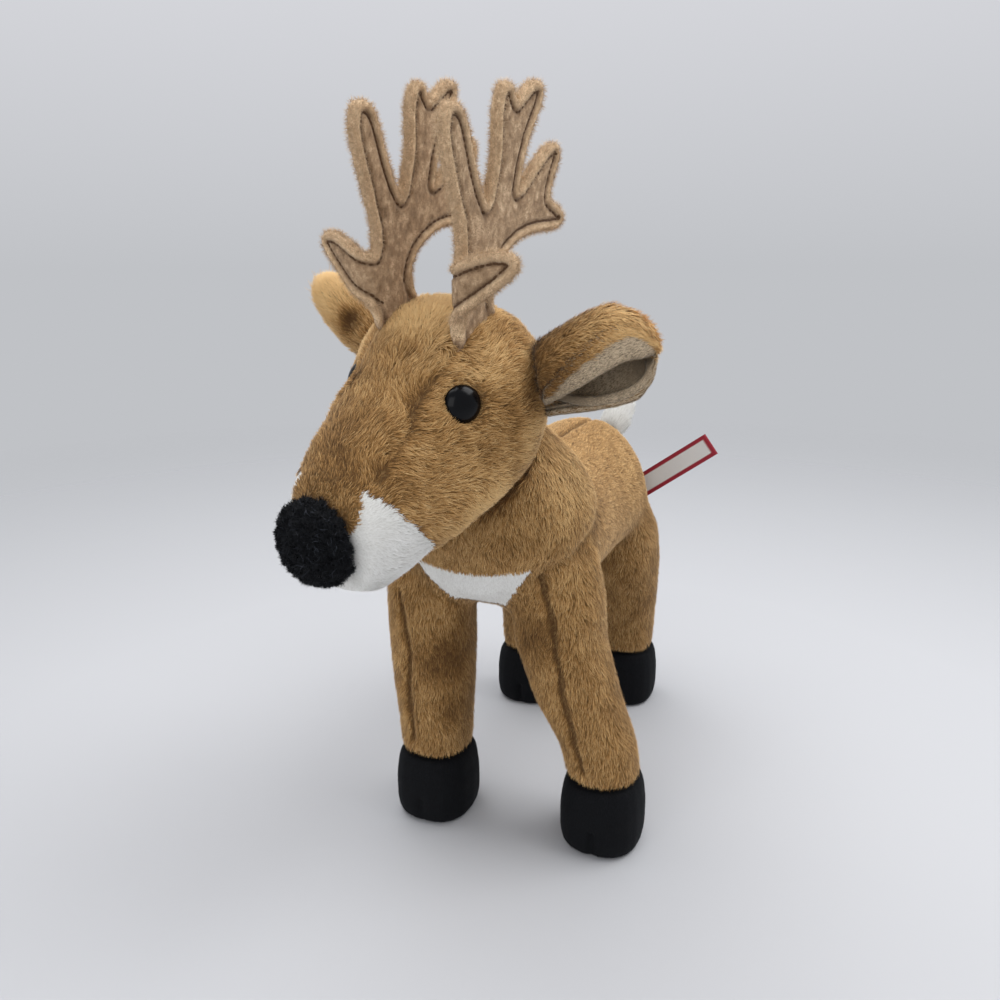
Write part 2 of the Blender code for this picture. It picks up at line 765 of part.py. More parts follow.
def hoof_form(foot, side):
    """A flat-soled hoof with a cleft in front."""
    rings = []
    for along, half_width, half_depth in HOOF_SHARES:
        section = oval(half_width * HOOF_WIDTH, half_depth * HOOF_DEPTH, HOOF_ROUNDNESS, LEG_SIDES)
        rings.append([Vector((side * foot.x + x, foot.y + y, along * HOOF_HEIGHT)) for x, y in section])
    hoof = loft("hoof", rings)
    front = foot.y - HOOF_DEPTH / 2
    half = CLEFT_WIDTH / 2
    before = front - CUT_OVERRUN
    wedge = ((-half, before), (half, before), (half, front), (0.0, front + CLEFT_DEPTH), (-half, front))
    low, high = -CUT_OVERRUN, CLEFT_HEIGHT
    rings = [[Vector((side * foot.x + x, y, z)) for x, y in wedge] for z in (low, high)]
    return carve(hoof, loft("tool", rings))


# White panels: the parts of the torso's form inside these blocks
def chest_block(margin):
    crotch = BELLY_HEIGHT + CHEST_PANEL_FOOT_RISE
    top = crotch + CHEST_PANEL_HEIGHT
    foot = CHEST_PANEL_FOOT_WIDTH / 2 + margin
    head = CHEST_PANEL_TOP_WIDTH / 2 + margin
    outline = ((-foot, crotch - CUT_OVERRUN), (foot, crotch - CUT_OVERRUN), (foot, crotch), (head, top),
               (head, top + CUT_OVERRUN), (-head, top + CUT_OVERRUN), (-head, top), (-foot, crotch))
    back = -CHEST_REACH + CHEST_PANEL_DEPTH + margin
    rings = [[Vector((x, y, z)) for x, z in outline] for y in (-CHEST_REACH - CUT_OVERRUN, back)]
    return loft("tool", rings)


def belly_block(margin):
    front = -CHEST_REACH + CHEST_PANEL_DEPTH + PANEL_SPACING - margin
    back = front + BELLY_PANEL_LENGTH + 2 * margin
    half = BELLY_PANEL_WIDTH / 2 + margin
    top = BELLY_HEIGHT + BELLY_PANEL_DEPTH + margin
    floor = BELLY_HEIGHT - CUT_OVERRUN
    outline = ((front, floor), (back, floor), (back, top), (front, top))
    return prism(outline, half)


# Tail: a short upright tuft
def tail_form():
    rings = []
    for along, half_width, half_thickness in TAIL_SHARES:
        half_depth = half_thickness * TAIL_THICKNESS
        section = oval(half_width * TAIL_WIDTH, half_depth, PLAIN_ROUNDNESS, TAIL_SIDES)
        rings.append([Vector((x, y, along * TAIL_LENGTH)) for x, y in section])
    lean = turn(TAIL_SIDE_LEAN, "Y") @ turn(-TAIL_LEAN, "X")
    return transformed(loft("tail", rings), Matrix.Translation(TAIL_ROOT) @ lean)


TAIL_ROOT = Vector((TAIL_OFFSET, TAIL_ROOT_SETBACK, TAIL_ROOT_HEIGHT))
LABEL_ROOT = Vector((LABEL_ROOT_OUT, LABEL_SETBACK, LABEL_HEIGHT))
LABEL_FRAME = Matrix.Translation(LABEL_ROOT) @ turn(-LABEL_RISE, "Y")


def label_form():
    """A flat ribbon that stands out of the flank's seam."""
    half = LABEL_WIDTH / 2
    thick = LABEL_THICKNESS / 2
    corners = ((-thick, -half), (thick, -half), (thick, half), (-thick, half))
    steps = ceil((LABEL_LENGTH + LABEL_TUCK) / FACET_LENGTH)
    rings = []
    for i in range(steps + 1):
        x = -LABEL_TUCK + (LABEL_LENGTH + LABEL_TUCK) * i / steps
        rings.append([Vector((x, y, z)) for y, z in corners])
    return transformed(loft("label", rings), LABEL_FRAME)


def build_deer():
    clear_scene()
    skins = {name: make_material(name, *look) for name, look in FINISHES.items()}
    stand = joint_empty("deer", Matrix.Identity(4), None)
    raw_torso = torso_form()
    raw_head = head_form()

    # The torso, less the neck's room and the two white panels
    torso = carve(copy_of(raw_torso), neck_room())
    chest = keep_inside(copy_of(torso), chest_block(0.0))
    belly = keep_inside(copy_of(torso), belly_block(0.0))
    carve(torso, chest_block(SEAM_GAP))
    carve(torso, belly_block(SEAM_GAP))
    finish(torso, "torso", skins["tan_plush"], stand)
    finish(keep_largest(chest), "chest_panel", skins["white_plush"], stand)
    finish(keep_largest(belly), "belly_panel", skins["white_plush"], stand)

    # The neck, hollowed where the head nods in it
    neck_joint = joint_empty("neck_turn", NECK_FRAME, stand)
    head_joint = joint_empty("head_nod", HEAD_FRAME, neck_joint)
    seated_head = transformed(copy_of(raw_head), HEAD_FRAME)
    neck = neck_form()
    nod_axis = HEAD_FRAME.to_3x3() @ ACROSS
    clear_of(neck, seated_head, HEAD_PLACE, nod_axis, NOD_RANGE)
    bpy.data.objects.remove(seated_head, do_unlink=True)
    finish(neck, "neck", skins["tan_plush"], neck_joint)

    # Head pieces, made in the head's own frame and then seated
    head = carve(copy_of(raw_head), muzzle_block(SEAM_GAP))
    muzzle = keep_inside(copy_of(raw_head), muzzle_block(0.0))
    nose = carve(nose_form(), swell(copy_of(raw_head), SEAM_GAP))
    for side, word in ((1, "left"), (-1, "right")):
        frame = eye_frame(side)
        carve(head, transformed(eye_room(), frame))
        seat = HEAD_FRAME @ frame
        finish(transformed(eye_form(), seat), "eye_" + word, skins["eye_plastic"], head_joint)
        finish(transformed(washer_form(), seat), "eye_washer_" + word, skins["washer_plastic"], head_joint)
        mirror = Matrix.Diagonal((side, 1.0, 1.0, 1.0))

        ear_pivot = Vector((EAR_SEAM_OUT, EAR_ROOT_SETBACK, EAR_ROOT_HEIGHT))
        ear_place = HEAD_FRAME @ Matrix.Translation(mirror @ ear_pivot)
        ear_joint = joint_empty("ear_flop_" + word, ear_place, head_joint)
        lining = EAR_FUR_THICKNESS + SEAM_GAP
        for name, outer, inner, skin in (
            ("ear_" + word, 0.0, EAR_FUR_THICKNESS, "tan_plush"),
            ("ear_lining_" + word, lining, lining + EAR_LINING_THICKNESS, "lining"),
        ):
            raw_ear = ear_form(outer, inner, EAR_TWISTS[word])
            ear = clear_of(raw_ear, raw_head, ear_pivot, UPRIGHT, EAR_RANGE)
            finish(transformed(ear, HEAD_FRAME @ mirror), name, skins[skin], ear_joint)

        antler_pivot = Vector((ANTLER_SPACING / 2, -ANTLER_REACH, ANTLER_ROOT_HEIGHT))
        antler_place = HEAD_FRAME @ Matrix.Translation(mirror @ antler_pivot)
        antler_joint = joint_empty("antler_lean_" + word, antler_place, head_joint)
        half = FELT_LAYER_GAP / 2
        for name, inner, outer in (
            ("antler_outer_felt_" + word, half, half + FELT_THICKNESS),
            ("antler_inner_felt_" + word, -half - FELT_THICKNESS, -half),
        ):
            felt = clear_of(antler_layer(inner, outer), raw_head, antler_pivot, BACKWARDS, ANTLER_RANGE)
            finish(transformed(felt, HEAD_FRAME @ mirror), name, skins["felt"], antler_joint)
    finish(transformed(keep_largest(head), HEAD_FRAME), "head", skins["tan_plush"], head_joint)
    finish(transformed(keep_largest(muzzle), HEAD_FRAME), "muzzle", skins["white_plush"], head_joint)
    finish(transformed(keep_largest(nose), HEAD_FRAME), "nose", skins["boucle"], head_joint)

    # Legs and hooves
    front = (FRONT_LEG_SHARES, FRONT_LEG_HEIGHT, FRONT_LEG_WIDTH, FRONT_LEG_DEPTH)
    hind = (HIND_LEG_SHARES, HIND_LEG_HEIGHT, HIND_LEG_WIDTH, HIND_LEG_DEPTH)
    front_hip = Vector((FRONT_HIP_SPACING / 2, -FRONT_LEG_REACH))
    hind_hip = Vector((HIND_HIP_SPACING / 2, HIND_LEG_SETBACK))
    legs = (
        ("front_left", 1, front, front_hip, FRONT_LEFT_SPLAY, FRONT_LEFT_STRIDE, FRONT_HIP_HEIGHT),
        ("front_right", -1, front, front_hip, FRONT_RIGHT_SPLAY, FRONT_RIGHT_STRIDE, FRONT_HIP_HEIGHT),
        ("hind_left", 1, hind, hind_hip, HIND_SPLAY, HIND_LEFT_STRIDE, HIND_HIP_HEIGHT),
        ("hind_right", -1, hind, hind_hip, HIND_SPLAY, HIND_RIGHT_STRIDE, HIND_HIP_HEIGHT),
    )
    for word, side, sizes, hip, splay, stride, hip_height in legs:
        pivot = Vector((side * hip.x, hip.y, hip_height))
        foot = hip + Vector((splay, stride))
        leg_joint = joint_empty("leg_swing_" + word, Matrix.Translation(pivot), stand)
        leg = leg_form(*sizes, foot, hip, side)
        clear_of(leg, raw_torso, pivot, ACROSS, LEG_RANGE)
        finish(leg, "leg_" + word, skins["tan_plush"], leg_joint)
        finish(hoof_form(foot, side), "hoof_" + word, skins["black_plush"], leg_joint)

    # Tail and label
    tail_joint = joint_empty("tail_lift", Matrix.Translation(TAIL_ROOT), stand)
    tail = clear_of(tail_form(), raw_torso, TAIL_ROOT, ACROSS, TAIL_RANGE)
    finish(tail, "tail", skins["white_plush"], tail_joint)
    label_joint = joint_empty("label_flap", LABEL_FRAME, stand)
    label_axis = LABEL_FRAME.to_3x3() @ UPRIGHT
    label = clear_of(label_form(), raw_torso, LABEL_ROOT, label_axis, LABEL_RANGE)
    finish(label, "sewn_label", skins["ribbon"], label_joint)

    bpy.data.objects.remove(raw_torso, do_unlink=True)
    bpy.data.objects.remove(raw_head, do_unlink=True)
    centre(stand)


def centre(stand):
    """Brings the middle of the toy's own box over the origin, with the soles at height 0."""
    bpy.context.view_layer.update()
    pieces = [item for item in bpy.data.objects if item.type == "MESH"]
    points = [piece.matrix_world @ vertex.co for piece in pieces for vertex in piece.data.vertices]
    xs, ys, zs = zip(*points)
    stand.location = (-(min(xs) + max(xs)) / 2, -(min(ys) + max(ys)) / 2, -min(zs))


build_deer()
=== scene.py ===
import json
from math import cos, pi, radians, sin, tau

import bmesh
import bpy
import numpy as np
from mathutils import Matrix, Vector
from mathutils.bvhtree import BVHTree
from mathutils.kdtree import KDTree


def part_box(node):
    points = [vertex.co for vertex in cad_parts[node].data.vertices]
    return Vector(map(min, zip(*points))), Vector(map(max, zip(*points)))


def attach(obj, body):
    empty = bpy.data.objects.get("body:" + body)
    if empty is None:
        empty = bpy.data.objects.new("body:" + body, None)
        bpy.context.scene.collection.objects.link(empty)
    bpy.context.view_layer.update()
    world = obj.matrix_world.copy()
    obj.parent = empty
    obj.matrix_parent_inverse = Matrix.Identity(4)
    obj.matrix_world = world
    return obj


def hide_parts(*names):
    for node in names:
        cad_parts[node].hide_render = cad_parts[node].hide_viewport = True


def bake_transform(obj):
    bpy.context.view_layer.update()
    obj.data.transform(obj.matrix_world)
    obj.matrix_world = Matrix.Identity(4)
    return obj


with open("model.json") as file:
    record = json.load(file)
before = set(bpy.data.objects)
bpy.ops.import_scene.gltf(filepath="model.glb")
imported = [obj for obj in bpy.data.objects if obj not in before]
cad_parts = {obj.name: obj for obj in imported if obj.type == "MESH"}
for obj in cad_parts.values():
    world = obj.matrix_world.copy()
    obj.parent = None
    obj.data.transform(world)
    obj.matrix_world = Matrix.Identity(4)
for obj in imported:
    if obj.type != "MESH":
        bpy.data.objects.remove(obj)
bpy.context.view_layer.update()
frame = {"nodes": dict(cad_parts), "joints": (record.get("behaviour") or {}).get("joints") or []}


# Camera: a little to the deer's left and above it, as a phone held at arm's length sees it. It was fitted
# to the photograph, and what lies on the deer at a place of the photograph is found through it.
PHOTO_SIZE = 1000
FOCAL_PX = 858.5
SENSOR_MM = 36.0


def in_scene(thing):
    bpy.context.scene.collection.objects.link(thing)
    return thing


camera = in_scene(bpy.data.objects.new("camera", bpy.data.cameras.new("camera")))
camera.data.sensor_width = SENSOR_MM
camera.data.lens = FOCAL_PX / PHOTO_SIZE * SENSOR_MM
camera.data.clip_start = 0.01
camera_at = Vector((0.1318, -0.3554, 0.2491))
camera_back = Vector((0.3674, -0.8924, 0.2621)).normalized()
camera_up = Vector((-0.0959, 0.2439, 0.965))
camera_right = camera_up.cross(camera_back).normalized()
camera_up = camera_back.cross(camera_right)
camera_turn = Matrix((camera_right, camera_up, camera_back)).transposed().to_4x4()
camera.matrix_world = Matrix.Translation(camera_at) @ camera_turn
bpy.context.scene.camera = camera


def sight(x, y):
    """The way from the camera through this place of the photograph."""
    middle = PHOTO_SIZE / 2
    return camera_right * (x - middle) / FOCAL_PX - camera_up * (y - middle) / FOCAL_PX - camera_back


def seen_at(tree, x, y):
    """The point of a surface that shows at this place of the photograph."""
    return tree.ray_cast(camera_at, sight(x, y).normalized())[0]


# Body: torso, neck and four legs of tan plush, with white panels sewn in between the legs, all stuffed.
# They are made as one even skin a pile's depth inside the solids, swollen by its filling between the seams
# and then cut up piece by piece, so that hips and shoulders run smoothly into each other.
MM = 0.001
SIDES = (("left", 1), ("right", -1))
nodes = frame["nodes"]
joint = {item["name"]: item for item in frame["joints"]}


def shader_of(finish):
    return finish.node_tree.nodes["Principled BSDF"]


def added(tree, kind, **values):
    """A new shader node with these inputs set."""
    node = tree.nodes.new("ShaderNode" + kind)
    for name, value in values.items():
        node.inputs[name.replace("_", " ")].default_value = value
    return node


def wired(tree, *links):
    """Joins a node's output to another's input, each by its name or number."""
    for giver, output, taker, socket in links:
        tree.links.new(giver.outputs[output], taker.inputs[socket])


def material(name, roughness, sheen=0.0, sheen_tint=(1.0, 1.0, 1.0), specular=0.2):
    """A plain finish, on which a section hangs its own colours."""
    made = bpy.data.materials.new(name)
    made.use_nodes = True
    for socket, value in (("Roughness", roughness), ("Sheen Weight", sheen), ("Sheen Roughness", 0.5),
                          ("Sheen Tint", (*sheen_tint, 1.0)), ("Specular IOR Level", specular)):
        shader_of(made).inputs[socket].default_value = value
    return made


def linear(*screen):
    """A screen colour, 0 to 255, as the renderer's own."""
    return tuple(((v / 255 + 0.055) / 1.055) ** 2.4 if v > 10 else v / 255 / 12.92 for v in screen)


def ramp(tree, places):
    """A colour ramp through (place, screen colour) pairs."""
    node = added(tree, "ValToRGB")
    elements = node.color_ramp.elements
    while len(elements) < len(places):
        elements.new(0.5)
    for element, (place, colour) in zip(elements, places):
        element.position = place
        element.color = (*linear(*colour), 1.0)
    return node


def mixed(tree, factor, first, second):
    """A mix of two colours, each given as a node and its output."""
    node = added(tree, "Mix")
    node.data_type = "RGBA"
    wired(tree, (*factor, node, "Factor"), (*first, node, "A"), (*second, node, "B"))
    return node


def pile_material(name, cool, warm, sheen=0.2, sheen_tint=(1.0, 0.9, 0.7)):
    """Colour of strands: dark to light along the map's u, cool to warm along its v."""
    made = material(name, 0.75, sheen, sheen_tint)
    tree = made.node_tree
    place = added(tree, "UVMap")
    place.uv_map = "OFBake"
    parts = added(tree, "SeparateXYZ")
    wired(tree, (place, "UV", parts, 0))
    ramps = [ramp(tree, places) for places in (cool, warm)]
    for node in ramps:
        wired(tree, (parts, "X", node, "Fac"))
    colour = mixed(tree, (parts, "Y"), (ramps[0], "Color"), (ramps[1], "Color"))
    wired(tree, (colour, "Result", shader_of(made), "Base Color"))
    return made


def cloth_material(name, dark, light, scale, roughness=0.9, sheen=0.3, bump=0.3):
    """A mottled cloth ground with a fine bump."""
    made = material(name, roughness, sheen)
    tree = made.node_tree
    shader = shader_of(made)
    place = added(tree, "TexCoord")
    noise = added(tree, "TexNoise", Scale=scale, Detail=5.0)
    colours = ramp(tree, ((0.32, dark), (0.68, light)))
    lump = added(tree, "Bump", Strength=bump, Distance=0.3 * MM)
    wired(tree, (place, "Object", noise, "Vector"), (noise, "Fac", colours, "Fac"),
          (noise, "Fac", lump, "Height"), (colours, "Color", shader, "Base Color"),
          (lump, "Normal", shader, "Normal"))
    return made


tan_cool = ((0.0, (89, 62, 33)), (0.3, (135, 100, 57)), (0.6, (179, 139, 87)), (1.0, (228, 194, 139)))
tan_warm = ((0.0, (95, 64, 31)), (0.3, (145, 104, 54)), (0.6, (189, 143, 85)), (1.0, (232, 194, 133)))
tan_pile = pile_material("tan_pile", tan_cool, tan_warm)
tan_ground = cloth_material("tan_ground", (104, 78, 46), (140, 108, 68), scale=900.0, sheen=0.1)
white_ramp = ((0.0, (200, 198, 192)), (0.4, (230, 229, 224)), (1.0, (248, 248, 245)))
white_pile = pile_material("white_pile", white_ramp, white_ramp, sheen=0.1)
white_ground = cloth_material("white_ground", (224, 223, 218), (240, 239, 235), scale=1500.0, sheen=0.1)
WELD = 0.01 * MM


def points_of(mesh, what="vertices", name="co", width=3):
    items = getattr(mesh, what)
    whole = name == "vertices"
    found = np.zeros(len(items) * width, np.int32 if whole else np.float32)
    items.foreach_get(name, found)
    return found.reshape(-1, width).astype(int if whole else float)


def set_points(mesh, co):
    mesh.vertices.foreach_set("co", np.asarray(co, np.float32).ravel())
    mesh.update()


def new_object(name, mesh, finish):
    mesh.name = name
    mesh.materials.clear()
    mesh.materials.append(finish)
    return in_scene(bpy.data.objects.new(name, mesh))


def mesh_of(shell, name):
    """What was built up, as a mesh."""
    made = bpy.data.meshes.new(name)
    shell.to_mesh(made)
    shell.free()
    return made


def merged(name, names, swell):
    """Copies of CAD solids in one mesh, each moved out a little along its normals so that they meet."""
    shell = bmesh.new()
    for node in names:
        part = nodes[node].data.copy()
        bm = bmesh.new()
        bm.from_mesh(part)
        bmesh.ops.remove_doubles(bm, verts=bm.verts[:], dist=WELD)
        bm.normal_update()
        for vertex in bm.verts:
            vertex.co += vertex.normal * swell
        bm.to_mesh(part)
        bm.free()
        shell.from_mesh(part)
        bpy.data.meshes.remove(part)
    return mesh_of(shell, name)


def remeshed(mesh, voxel):
    """The mesh as one even skin of small quads."""
    holder = in_scene(bpy.data.objects.new("holder", mesh))
    modifier = holder.modifiers.new("even", "REMESH")
    modifier.mode = "VOXEL"
    modifier.voxel_size = voxel
    bpy.context.view_layer.update()
    made = bpy.data.meshes.new_from_object(holder.evaluated_get(bpy.context.evaluated_depsgraph_get()))
    bpy.data.objects.remove(holder)
    made.shade_smooth()
    return made


def relaxed(mesh, times):
    """Smooths a mesh by moving each point halfway towards its neighbours' middle."""
    co = points_of(mesh)
    edges = points_of(mesh, "edges", "vertices", 2)
    both = np.concatenate([edges, edges[:, ::-1]])
    count = np.bincount(both[:, 0], minlength=len(co))[:, None].clip(1)
    for _ in range(times):
        middle = np.stack([np.bincount(both[:, 0], co[both[:, 1], k], len(co)) for k in range(3)], 1) / count
        co += (middle - co) / 2
    set_points(mesh, co)
    return mesh


def pushed(mesh, distance):
    """Moves a skin along its normals, by one distance or one for each point."""
    distance = np.broadcast_to(distance, len(mesh.vertices))
    set_points(mesh, points_of(mesh) + points_of(mesh, "vertices", "normal") * distance[:, None])
    return mesh


def tree_of(mesh):
    return BVHTree.FromPolygons([v.co for v in mesh.vertices], [p.vertices for p in mesh.polygons])


def owners(mesh, names):
    """The number of the nearest of these CAD nodes, for every face of a skin."""
    spots, faces, belongs = [], [], []
    for index, name in enumerate(names):
        data = nodes[name].data
        faces += [tuple(len(spots) + v for v in p.vertices) for p in data.polygons]
        spots += [v.co for v in data.vertices]
        belongs += [index] * len(data.polygons)
    tree = BVHTree.FromPolygons(spots, faces)
    return np.array([belongs[tree.find_nearest(c)[2]] for c in points_of(mesh, "polygons", "center")])


def part_of(mesh, keep, name, finish):
    """The faces that keep marks, as a piece of their own."""
    shell = bmesh.new()
    shell.from_mesh(mesh)
    dropped = [face for face, kept in zip(shell.faces, keep) if not kept]
    bmesh.ops.delete(shell, geom=dropped, context="FACES")
    return new_object(name, mesh_of(shell, name), finish)


def unit(vectors):
    return vectors / np.linalg.norm(vectors, axis=-1, keepdims=True).clip(1e-9)


def spot_tree(spots):
    tree = KDTree(len(spots))
    for i, spot in enumerate(spots):
        tree.insert(spot, i)
    tree.balance()
    return tree


def nearest(points, targets):
    """Distance to, and number of, the nearest target of every point."""
    tree = spot_tree(targets)
    found = [tree.find(p)[1:] for p in points]
    return np.array([f[1] for f in found]), np.array([f[0] for f in found])


def gap_to(points, middle):
    """Each point's distance from one place."""
    return np.linalg.norm(points - np.array(middle), axis=1)


def bell(gap, width):
    """1 where there is no gap, falling softly to 0 beyond the width."""
    return np.exp(-((gap / width) ** 2))


def near_line(root, line, width):
    """1 on a line of points, falling to 0 beside it."""
    return bell(nearest(root, line)[0], width)


def lumps(root, size, seed):
    """A smooth random field between about -1 and 1."""
    rng = np.random.default_rng(seed)
    total = np.zeros(len(root))
    for _ in range(9):
        wave = rng.normal(0, 1, 3)
        wave *= tau / size / np.linalg.norm(wave) * rng.uniform(0.6, 1.6)
        total += np.sin(root @ wave + rng.uniform(0, tau))
    return total / 3


def swirl(root, size, seed):
    """A smooth random turn of the comb."""
    return np.stack([lumps(root, size, seed + k) for k in range(3)], 1)


SEAM_STEP = 0.5 * MM


def seam(tree, pixels):
    """A line sewn along a surface, through places of the photograph."""
    ends = [np.array(found) for found in (seen_at(tree, *p) for p in pixels) if found is not None]
    line = []
    for a, b in zip(ends[:-1], ends[1:]):
        steps = max(int(np.linalg.norm(b - a) / SEAM_STEP), 1)
        line += [tree.find_nearest(Vector(a + (b - a) * i / steps))[0] for i in range(steps)]
    return np.array(line)


def sunk(tree, line, depth):
    """A line moved down into a surface."""
    found = [tree.find_nearest(Vector(spot))[:2] for spot in line]
    return np.array([tuple(spot - normal * depth) for spot, normal in found])


def painted_light_and_shade(root, areas):
    """Painted light and shade on a coat: lighter and darker areas, each a soft round patch about its middle.
    """
    total = np.zeros(len(root))
    for middle, reach, amount in areas:
        total += amount * bell(gap_to(root, middle), reach)
    return total


# Pile: every strand is a thin blade of two faces, or one for velour, rooted on a skin and combed along
# a flow. Strands take the skin's own shading direction for the most part, as a dense soft pile does.
STRAND_SHARE = 1.0
STRAY = 0.24
TUFT_STRANDS = 14
TUFT_REACH = 3 * MM


def pile(name, mesh, finish, per_mm2, length, width, flow, seed, lift=0.42, tone=None, reach=None, clump=0.2,
         only=None, curl=0.0, light=0.0, velour=False):
    """Strands on a mesh, combed along flow; tone and reach change each one's colour and length."""
    rng = np.random.default_rng(seed)
    mesh.calc_loop_triangles()
    tris = points_of(mesh, "loop_triangles", "vertices")
    co, normals = points_of(mesh), points_of(mesh, "vertices", "normal")
    a, b, c = co[tris[:, 0]], co[tris[:, 1]], co[tris[:, 2]]
    area = np.linalg.norm(np.cross(b - a, c - a), axis=1) / 2
    if only is not None:
        area = area * only((a + b + c) / 3, unit(normals[tris].sum(1)))
    count = int(area.sum() / MM**2 * per_mm2 * STRAND_SHARE)
    widen = width / STRAND_SHARE**0.5
    picked = rng.choice(len(area), count, p=area / area.sum())
    u, v = rng.random((2, count))
    u, v = np.where(u + v > 1, 1 - u, u), np.where(u + v > 1, 1 - v, v)
    weights = np.stack([1 - u - v, u, v], 1)[:, :, None]
    root = (co[tris[picked]] * weights).sum(1)
    out = unit((normals[tris[picked]] * weights).sum(1))
    comb = flow(root, out)
    comb = comb - out * (comb * out).sum(1, keepdims=True)
    stray = rng.normal(0, STRAY, (count, 3))
    comb = unit(unit(comb) + stray - out * (stray * out).sum(1, keepdims=True))
    size = length * rng.uniform(0.7, 1.15, count) * (1 if reach is None else reach(root, out))
    size = size[:, None]
    rise = (lift + rng.normal(0, 0.10, count)).clip(0.06, 1.4)[:, None]
    middle = root + unit(out * rise + comb) * size * 0.5
    tip = middle + unit(out * rise * 0.45 + comb + rng.normal(0, 0.10 + curl, (count, 3))) * size * 0.5
    if clump:
        leaders = rng.choice(count, max(count // TUFT_STRANDS, 1), replace=False)
        gap, which = nearest(root, root[leaders])
        pull = (clump * rng.uniform(0.3, 1.0, count) * (gap < TUFT_REACH))[:, None]
        tip += (tip[leaders][which] - tip) * pull
    across = unit(unit(np.cross(tip - root, out)) + out * rng.normal(0, 0.2, (count, 1)))
    half = across * (widen * rng.uniform(0.7, 1.2, count) / 2)[:, None]
    facing = unit(np.cross(across, tip - root))
    facing *= np.sign((facing * out).sum(1, keepdims=True))
    if velour:
        points = [root - half, root + half, tip]
        order, starts, ends = [0, 1, 2], [0], [0.3, 0.3, 0.8]
    else:
        points = [root - half, root + half, middle - half * 0.8, middle + half * 0.8, tip]
        order, starts, ends = [0, 1, 3, 2, 2, 3, 4], [0, 4], [0.06, 0.06, 0.44, 0.44, 0.88]
    each, spots = len(points), np.stack(points, 1).reshape(-1, 3)
    corners = ((np.arange(count) * each)[:, None] + np.array(order)).ravel()
    made = bpy.data.meshes.new(name)
    made.vertices.add(count * each)
    made.vertices.foreach_set("co", spots.astype(np.float32).ravel())
    made.loops.add(len(corners))
    made.loops.foreach_set("vertex_index", corners.astype(np.int32))
    made.polygons.add(count * len(starts))
    firsts = ((np.arange(count) * len(order))[:, None] + np.array(starts)).ravel()
    made.polygons.foreach_set("loop_start", firsts.astype(np.int32))
    made.update(calc_edges=True)
    shade = tone(root, out) if tone is not None else 0.0
    shade = shade + rng.normal(0, 0.07 if velour else 0.17, count) + light
    along = shade[:, None] + np.array(ends)
    hue = rng.random(count)[:, None] * 0.9 + 0.05 + np.linspace(-0.02, 0.02, each)
    place = np.stack([along.clip(0.01, 0.99), hue], 2).reshape(-1, 2)
    layer = made.uv_layers.new(name="OFBake")
    layer.data.foreach_set("uv", place[corners].astype(np.float32).ravel())
    made.shade_smooth()
    soft = unit(out + facing * 0.5)
    made.normals_split_custom_set_from_vertices(np.repeat(soft, each, 0).tolist())
    return new_object(name, made, finish)


# Filling: it presses the cloth out between the seams. A coarse copy of a skin is blown up as cloth, held
# along its seams, and the fine skin then moves as the coarse one did, by no more than a small cap.
COARSE = 5.0 * MM
FILL_PRESSURE = 4.0
FILL_FRAMES = 20
SWELL_CAP = 1.6 * MM
HELD_WIDTH = 4 * MM


def filled(skin, lines):
    """The skin after its filling has swollen it between these seam lines."""
    co = points_of(skin)
    cloth_mesh = relaxed(remeshed(skin.copy(), COARSE), 2)
    start = points_of(cloth_mesh)
    held = near_line(start, lines, HELD_WIDTH)
    sheet = in_scene(bpy.data.objects.new("sheet", cloth_mesh))
    pins = sheet.vertex_groups.new(name="held")
    for i, weight in enumerate(held):
        pins.add([i], float(weight), "REPLACE")
    cloth = sheet.modifiers.new("cloth", "CLOTH")
    cloth.settings.quality = 6
    cloth.settings.mass = 0.2
    cloth.settings.use_pressure = True
    cloth.settings.uniform_pressure_force = FILL_PRESSURE
    cloth.settings.vertex_group_mass = "held"
    cloth.settings.effector_weights.gravity = 0.0
    for number in range(1, FILL_FRAMES + 1):
        bpy.context.scene.frame_set(number)
    graph = bpy.context.evaluated_depsgraph_get()
    blown = bpy.data.meshes.new_from_object(sheet.evaluated_get(graph))
    moved = points_of(blown) - start
    bpy.context.scene.frame_set(1)
    bpy.data.objects.remove(sheet)
    size = np.linalg.norm(moved, axis=1, keepdims=True).clip(1e-9)
    moved *= SWELL_CAP * np.tanh(size / SWELL_CAP) / size
    tree = spot_tree(start)
    found = [tree.find_n(spot, 5) for spot in co]
    which = np.array([[item[1] for item in row] for row in found])
    weight = 1 / np.array([[item[2] for item in row] for row in found]).clip(0.5 * MM)
    set_points(skin, co + (moved[which] * weight[:, :, None]).sum(1) / weight.sum(1)[:, None])
    return relaxed(skin, 2)


BODY_DEPTH = 1.8 * MM
SOLID_SWELL = 1.0 * MM
SEAM_WIDTH = 1.6 * MM
BODY_GROOVE = 1.4 * MM
LEG_GROOVE = 1.8 * MM
LEG_DEEPER = 0.4 * MM
LEFT_LEG_SEAM = ((541, 574), (547, 598), (554, 622), (556, 645), (561, 672), (563, 700), (570, 722),
                 (577, 750), (584, 773))
RIGHT_LEG_SEAM = ((399, 586), (403, 612), (410, 650), (409, 690), (414, 738))
body_nodes = ["torso", "chest_panel", "belly_panel", "neck"]
body_nodes += [f"leg_{end}_{word}" for end in ("front", "hind") for word, _ in SIDES]
body_skin = relaxed(remeshed(merged("body", body_nodes, SOLID_SWELL), voxel=1.4 * MM), times=36)
body_skin = pushed(body_skin, -SOLID_SWELL - BODY_DEPTH)
body_tree = tree_of(body_skin)
leg_seams = np.concatenate([seam(body_tree, LEFT_LEG_SEAM), seam(body_tree, RIGHT_LEG_SEAM)])
back_seams = []
